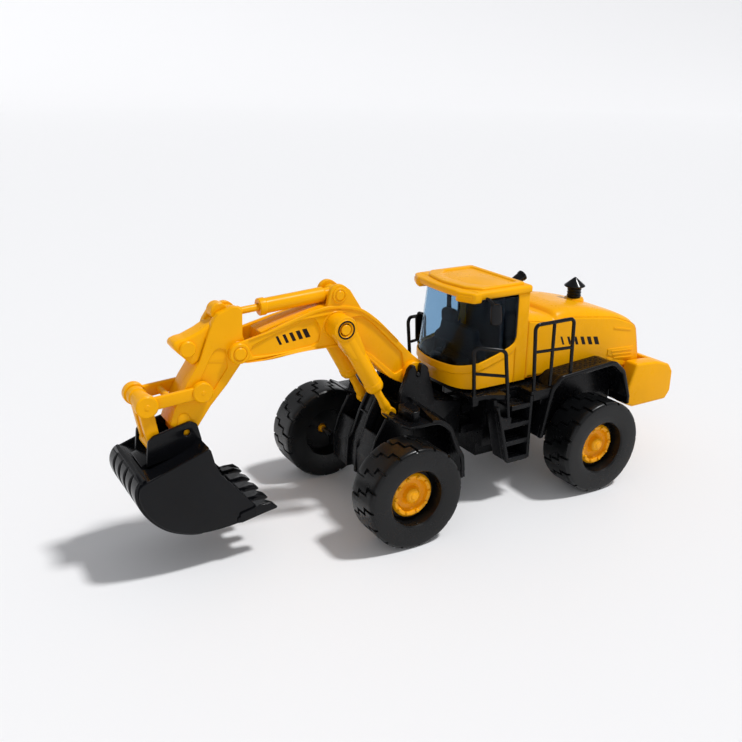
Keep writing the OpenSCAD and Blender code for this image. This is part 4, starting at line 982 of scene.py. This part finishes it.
# ---- Stick and bucket linkage ----
def stick():
    """The stick: a core, two outer skins with a sunk panel, and a barrel between its upper cheeks; the short guard."""
    w = 11.7
    shape = outline([*arc(ROD_EYE, 7.6, 2.7, 0.9, 8), (225.2, 190.7, 3), (230.3, 183.7, 3), (234.9, 172.7, 6),
        (241.2, 156.6, 8), (251.4, 142.2, 8), (262, 124, 6), (266.4, 112), *arc(BUCKET, 7.6, 0.4, -2.4, 14),
        (244.2, 107.9, 5), (234.6, 120.8, 5), (220.9, 135.3, 6), (208.8, 150.3, 4), (203.6, 156, 3),
        (203.4, 162, 4), (206.9, 172, 6)])
    panel = outline([(220.6, 162.6, 1.5), (225, 164.4, 3), (229, 163.4, 3), (232, 159.5, 6), (243, 139.5, 8),
        (240, 126.5, 2), (231, 133.8, 3), (219.8, 148.6, 3)])
    inner = inset(shape, HIDDEN)
    b = Build().slab(inner[inner[:, 1] <= 177.4], -w + 1.2, w - 1.2, 0.4)
    b.pair([shape, panel], w - 2.4, w, 0.85, 4).pair(inner[inner[:, 1] >= 150], 5.6, w - 0.9, 0.4)
    for s in (1, -1):
        b.turned([(0, w - 2), (8.6, w - 2), (8.6, w - 0.2), (8.2, w + 0.2), (0, w + 0.2)], at(STICK, 0), (0, s, 0),
            44)
    # The two upper cheeks are tied by a barrel in front of the rod's eye
    b.pin((221.8, 190.4), -5.2, 5.2, 6.6, 0.6, 40).pin(BUCKET, -w, w, 7.6, 0.6, 44)
    for y in (4.9, -12.7):
        b.slab(link(BUCKET, (256.2, 115), 7.6, 4.9), y, y + 7.8, 1.6, steps=4)
    b.piece("stick_shell", "stick", "yellow", ["stick"])
    guard = outline([(225, 187, 1), (229, 183.8, 3), (239, 178.6, 8), (249, 174.7, 4), (254, 174.1, 4),
        (258, 172.6, 3), (259.4, 169.4, 3), (256, 164.6, 3), (252, 160.4, 3), (245.6, 153.4, 2), (240, 156),
        (233, 172)])
    b = Build().slab(guard, -8.5, 8.5, 2.2, steps=5).pin((248.9, 167), -11, 11, 6.1, 0.8, 44)
    b.piece("stick_guard_block", "stick", "yellow", ["stick_guard"])
    b = Build().pin(LINK, -17.8, 17.8, 1.6, 0.4).pin(ROD_EYE, -11.6, 11.6, PIN_R, 0.5)
    b.pin(BUCKET, -13.5, 13.5, PIN_R, 0.5).piece("stick_caps", "stick", "yellow", ["stick_pins"])


def linkage():
    """Arms that tip the bucket, with a grooved drum across their far end, and the link down to the bucket."""
    inner, outer = 12.2, 16.0
    b = Build().slab(link(LINK, TIP, 4.6, 4.8), inner, outer, 0.9, steps=4)
    b.turned([(0, inner), (7.3, inner), (7.8, inner + 0.5), (7.8, outer + 0.8), (7.0, outer + 1.5),
        (0, outer + 1.5)], at(LINK, 0))
    b.turned([(0, inner), (7.8, inner), (8.4, inner + 0.6), (8.4, outer + 2), (7.4, outer + 3), (0, outer + 3)],
        at(TIP, 0))
    b.both().turned([(0, -12.9), (2.7, -12.9), (2.7, 12.9), (0, 12.9)], at(along(LINK, TIP, 24), 0), n=28)
    b.piece("tipping_arms", "tipping_link", "yellow", ["tipping_link"])
    Build().pin(TIP, -19.4, 19.4, 2.2, 0.5).piece("tip_pin_round", "tipping_link", "yellow", ["tip_pin"])
    drum = [(2.06, 11.7), (6.4, 11.7), (7.2, 10.9), (7.2, 4.4), (6.3, 3.8)]
    b = Build().turned([(r, -y) for r, y in drum] + drum[::-1], at(TIP, 0), n=44, ring=True)
    b.turned([(3.0, -11.7), (5.1, -11.7), (5.6, -11.1), (5.6, 11.1), (5.1, 11.7), (3.0, 11.7)], at(EAR_EYE, 0),
        n=40, ring=True)
    b.pair([link(TIP, EAR_EYE, 5.2, 4.8), circle(TIP, 2.1, 24), circle(EAR_EYE, 3.1, 24)], 4.5, 11.5, 0.8, 4)
    b.slab(link(along(TIP, EAR_EYE, 7), along(TIP, EAR_EYE, 28), 2.4, 2.4), -5, 5, 0.3)
    b.piece("bucket_link_bar", "bucket_link", "yellow", ["bucket_link"])


stick()
linkage()


# ---- Bucket ----
BACK = spline([(293.5, 83), (298, 80.3), (300.2, 74), (299, 66), (294.5, 56.5), (287, 46.8), (278, 39.6),
    (266, 34.2), (256, 32), (240, 31.6), (224, 33.2), (209, 37.5)], 5)


def shift(points, d):
    """The open curve moved to its right by d."""
    p = np.array(points)
    t = unit(np.gradient(p, axis=0))
    return p + np.stack([t[:, 1], -t[:, 0]], 1) * d


# Steps of a rounded edge: how far in, and how far down from the face
ROUND = [(0, 1), (0.13, 0.5), (0.5, 0.13), (1, 0), (1.5, 0)]


def ribbed_skin(b):
    """Thick skin over the curved back, opened by four slots that taper in near its top."""
    pitch, gap, half_width, rim_r, proud = 14.0, 5.6, 35, 1.1, 2.3
    first, full, last = 3, 13, 42  # points of BACK where the slots start, are fully wide, and the skin ends
    rows = [(0, 0.9), (0, 1.7), *((k, proud) for k in range(1, last - 1)), (last - 1, 1.7), (last, 0.9)]
    faces, base = {d: shift(BACK, -d) for d in (0.9, 1.7, proud)}, shift(BACK, 0.8)
    m = 2 * len(ROUND) + 2
    for rib in range(-2, 3):
        verts, closed = [], []
        for k, height in rows:
            slot = gap * math.sin(math.pi / 2 * min(1, max(0, (k - first) / (full - first)))) ** 0.8
            r = min(rim_r, slot / 2)
            right, left = (rib * pitch + e * (pitch - slot) / 2 if abs(rib + e) < 2.5 else e * half_width
                for e in (-1, 1))
            rim = [(right, 0), *((right + r * a, d) for a, d in ROUND)]
            rim += [*((left - r * a, d) for a, d in reversed(ROUND)), (left, 0)]
            top = faces[height][k]
            n = unit(top - base[k])
            for i, (y, drop) in enumerate(rim):
                p = base[k] if i in (0, m - 1) else top - n * r * drop
                verts.append(at(p, y))
            closed.append(slot == 0)
        quads = [tuple(range(m)), tuple(range(len(verts) - m, len(verts)))]
        for k, quad in enumerate(skirt(len(rows), m)):
            j, i = divmod(k, m)
            shared = closed[j] and closed[j + 1] and (i == 0 and rib > -2 or i == m - 2 and rib < 2)
            if not shared:
                quads.append(quad)
        b.add(verts, quads)


def teeth(b, lip):
    """Five flat teeth along the cutting lip; the outer two are flush with the side cutters."""
    tip, root = 4.35, 5.2  # half widths
    for k in (-2, -1, 0, 1, 2):
        y = k * (lip - tip) / 2
        lean = math.copysign(root - tip - 0.2, k) if abs(k) == 2 else 0.0
        low, high = y - root - min(lean, 0), y + root - max(lean, 0)
        loop = outline([(214, low), (214, high), (207.4, high - 0.3, 1), (203.5, y + tip, 1.2),
            (195.6, y + tip - 0.6, 1.2), (195.6, y - tip + 0.6, 1.2), (203.5, y - tip, 1.2), (207.4, low + 0.3, 1)])
        verts = []
        for ease_in, lower, d in ((0.07, True, 0), (0, True, 0.5), (0, False, -0.5), (0.07, False, 0)):
            for x, v in loop:
                z = 37.9 - 0.07 * (x - 196) if lower else 39.6 + 0.9 * (x - 195.6) if x < 200.4 else 43.9
                verts.append((x + (203 - x) * ease_in, v + (y - v) * ease_in, z + d))
        n = len(loop)
        b.add(verts, [*skirt(4, n), tuple(range(n)), tuple(range(3 * n, 4 * n))])


def bucket():
    """Open scoop with side plates, two ears, a ribbed back, a cutting lip, side cutters and five teeth."""
    w, lip = 38.0, 39.8
    sides = outline([(246, 99.2, 2.5), *BACK, (211, 41, 2), (212, 43.5, 2), (238, 75, 3), (243, 86, 3)])
    cutter = outline([(226, 32.9, 1), (205, 36.8, 0.8), (196.2, 38, 0.8), (195.4, 39.4, 0.8), (200.6, 43.9, 1),
        (209, 44.3, 2), (226, 40.9, 2)])
    ear = outline([(244.5, 92), (244.6, 98, 1), (247.4, 110.6, 2.5), (252.3, 113.6, 4), (268, 110.2, 12),
        (280.6, 107.3, 5), (285, 103.6, 3), (287.5, 84)])
    b = Build().pair(sides, 35.6, w, 0.7, 4).pair([ear, circle(BUCKET, 2.5, 28)], 13, 15.8, 0.7, 4)
    b.pair(cutter, 37.2, lip, 0.6)
    # The shell: the sunk top between the sides, the curved back and its inner face
    top = [(246.4, 98.9), (249.5, 97.8), (253, 93.2), (262, 89.6), (276, 85), (285, 82), (289.5, 83.4)]
    under_top = [(284, 79.4), (262, 87), (252, 90.6), (247.4, 95)]
    b.slab(np.concatenate([top, BACK, shift(BACK, 2.4)[::-1], under_top]), -36.4, 36.4, 0.5)
    ribbed_skin(b)
    blade = [(228, 32.8, 1), (211, 36), (209.1, 36.5, 0.8), (208.6, 41.6, 1.2), (212, 42.4, 2), (228, 37.4, 1)]
    b.slab(outline(blade), -lip + 0.6, lip - 0.6, 0.6)
    teeth(b, lip)
    # Sunk wall that joins the two ears behind the link
    b.slab(outline([(248, 97.6, 1), (252, 99.5, 2), (286, 87.6, 2), (292, 84.4, 1), (288, 82.6)]), -13.4, 13.4, 0.5)
    b.piece("bucket_shell", "bucket", "black_trim", ["bucket"])
    Build().pin(EAR_EYE, -14.4, 14.4, PIN_R, 0.4).piece("ear_pin", "bucket", "steel", ["bucket_pin"])


bucket()

# CAD nodes that stay as they are get eased edges and their own material
for name, node in frame["nodes"].items():
    if not node.hide_render:
        slot = next(p["material_slot"] for p in frame["record"]["subparts"] if p["node"] == name)
        node.data.materials.clear()
        node.data.materials.append(MATERIALS[slot])
        weld = node.modifiers.new("weld", "WELD")
        weld.merge_threshold = 1e-6
        flat = node.modifiers.new("flat", "DECIMATE")
        flat.decimate_type, flat.angle_limit = "DISSOLVE", math.radians(0.5)
        ease(node, 0.4)


# ---- Camera, floor and light ----
def look(azimuth, elevation, roll, location, lens):
    """Sets the camera: angles in degrees, place in metres, lens in millimetres."""
    a, e, r = (math.radians(v) for v in (azimuth, elevation, roll))
    back = Vector((math.sin(a) * math.cos(e), -math.cos(a) * math.cos(e), math.sin(e)))
    right = Vector((0, 0, 1)).cross(back).normalized()
    up = back.cross(right)
    right, up = right * math.cos(r) + up * math.sin(r), up * math.cos(r) - right * math.sin(r)
    cam = bpy.data.objects.new("camera", bpy.data.cameras.new("camera"))
    scene.collection.objects.link(cam)
    cam.matrix_world = Matrix.Translation(location) @ Matrix((right, up, back)).transposed().to_4x4()
    cam.data.lens, cam.data.clip_start = lens, 0.01
    scene.camera = cam


def sun(name, towards, strength, spread):
    """A far, soft light that shines from the direction given."""
    light = bpy.data.lights.new(name, "SUN")
    light.energy, light.angle = strength, math.radians(spread)
    obj = bpy.data.objects.new(name, light)
    scene.collection.objects.link(obj)
    obj.rotation_mode = "QUATERNION"
    obj.rotation_quaternion = Vector(towards).to_track_quat("Z", "Y")


def studio():
    """A pale floor whose far edge curls up, so that it fills the view past the horizon."""
    rings, spokes, flat, reach, rise = 12, 64, 7.0, 12.0, 2.6
    verts = [(0, 0, 0)]
    for f in np.linspace(0, 1, rings + 1):
        verts += [(x, y, rise * f ** 2) for x, y in circle((0, 0), flat + (reach - flat) * f, spokes)]
    faces = [(0, 1 + k, 1 + (k + 1) % spokes) for k in range(spokes)]
    faces += [tuple(1 + i for i in reversed(f)) for f in skirt(rings + 1, spokes)]
    mesh = bpy.data.meshes.new("floor")
    mesh.from_pydata(verts, [], faces)
    mesh.polygons.foreach_set("use_smooth", [True] * len(mesh.polygons))
    floor = bpy.data.objects.new("floor", mesh)
    scene.collection.objects.link(floor)
    m = bpy.data.materials.new("pale_floor")
    m.use_nodes = True
    shader = m.node_tree.nodes["Principled BSDF"]
    shader.inputs["Base Color"].default_value = (0.85, 0.85, 0.86, 1)
    shader.inputs["Roughness"].default_value = 0.5
    shader.inputs["Specular IOR Level"].default_value = 0.2
    mesh.materials.append(m)
    world = bpy.data.worlds.new("studio")
    world.use_nodes = True
    background = world.node_tree.nodes["Background"]
    background.inputs["Color"].default_value = (0.96, 0.97, 1, 1)
    background.inputs["Strength"].default_value = 0.4
    scene.world = world
    sun("key", (-0.45, 0.3, 1.0), 2.45, 7)
    sun("fill", (0.7, 0.8, 0.55), 0.22, 40)
    scene.view_settings.view_transform = "Standard"


look(azimuth=149.30, elevation=19.61, roll=0.51, location=(0.4386, 0.5889, 0.3637), lens=42.03)
studio()
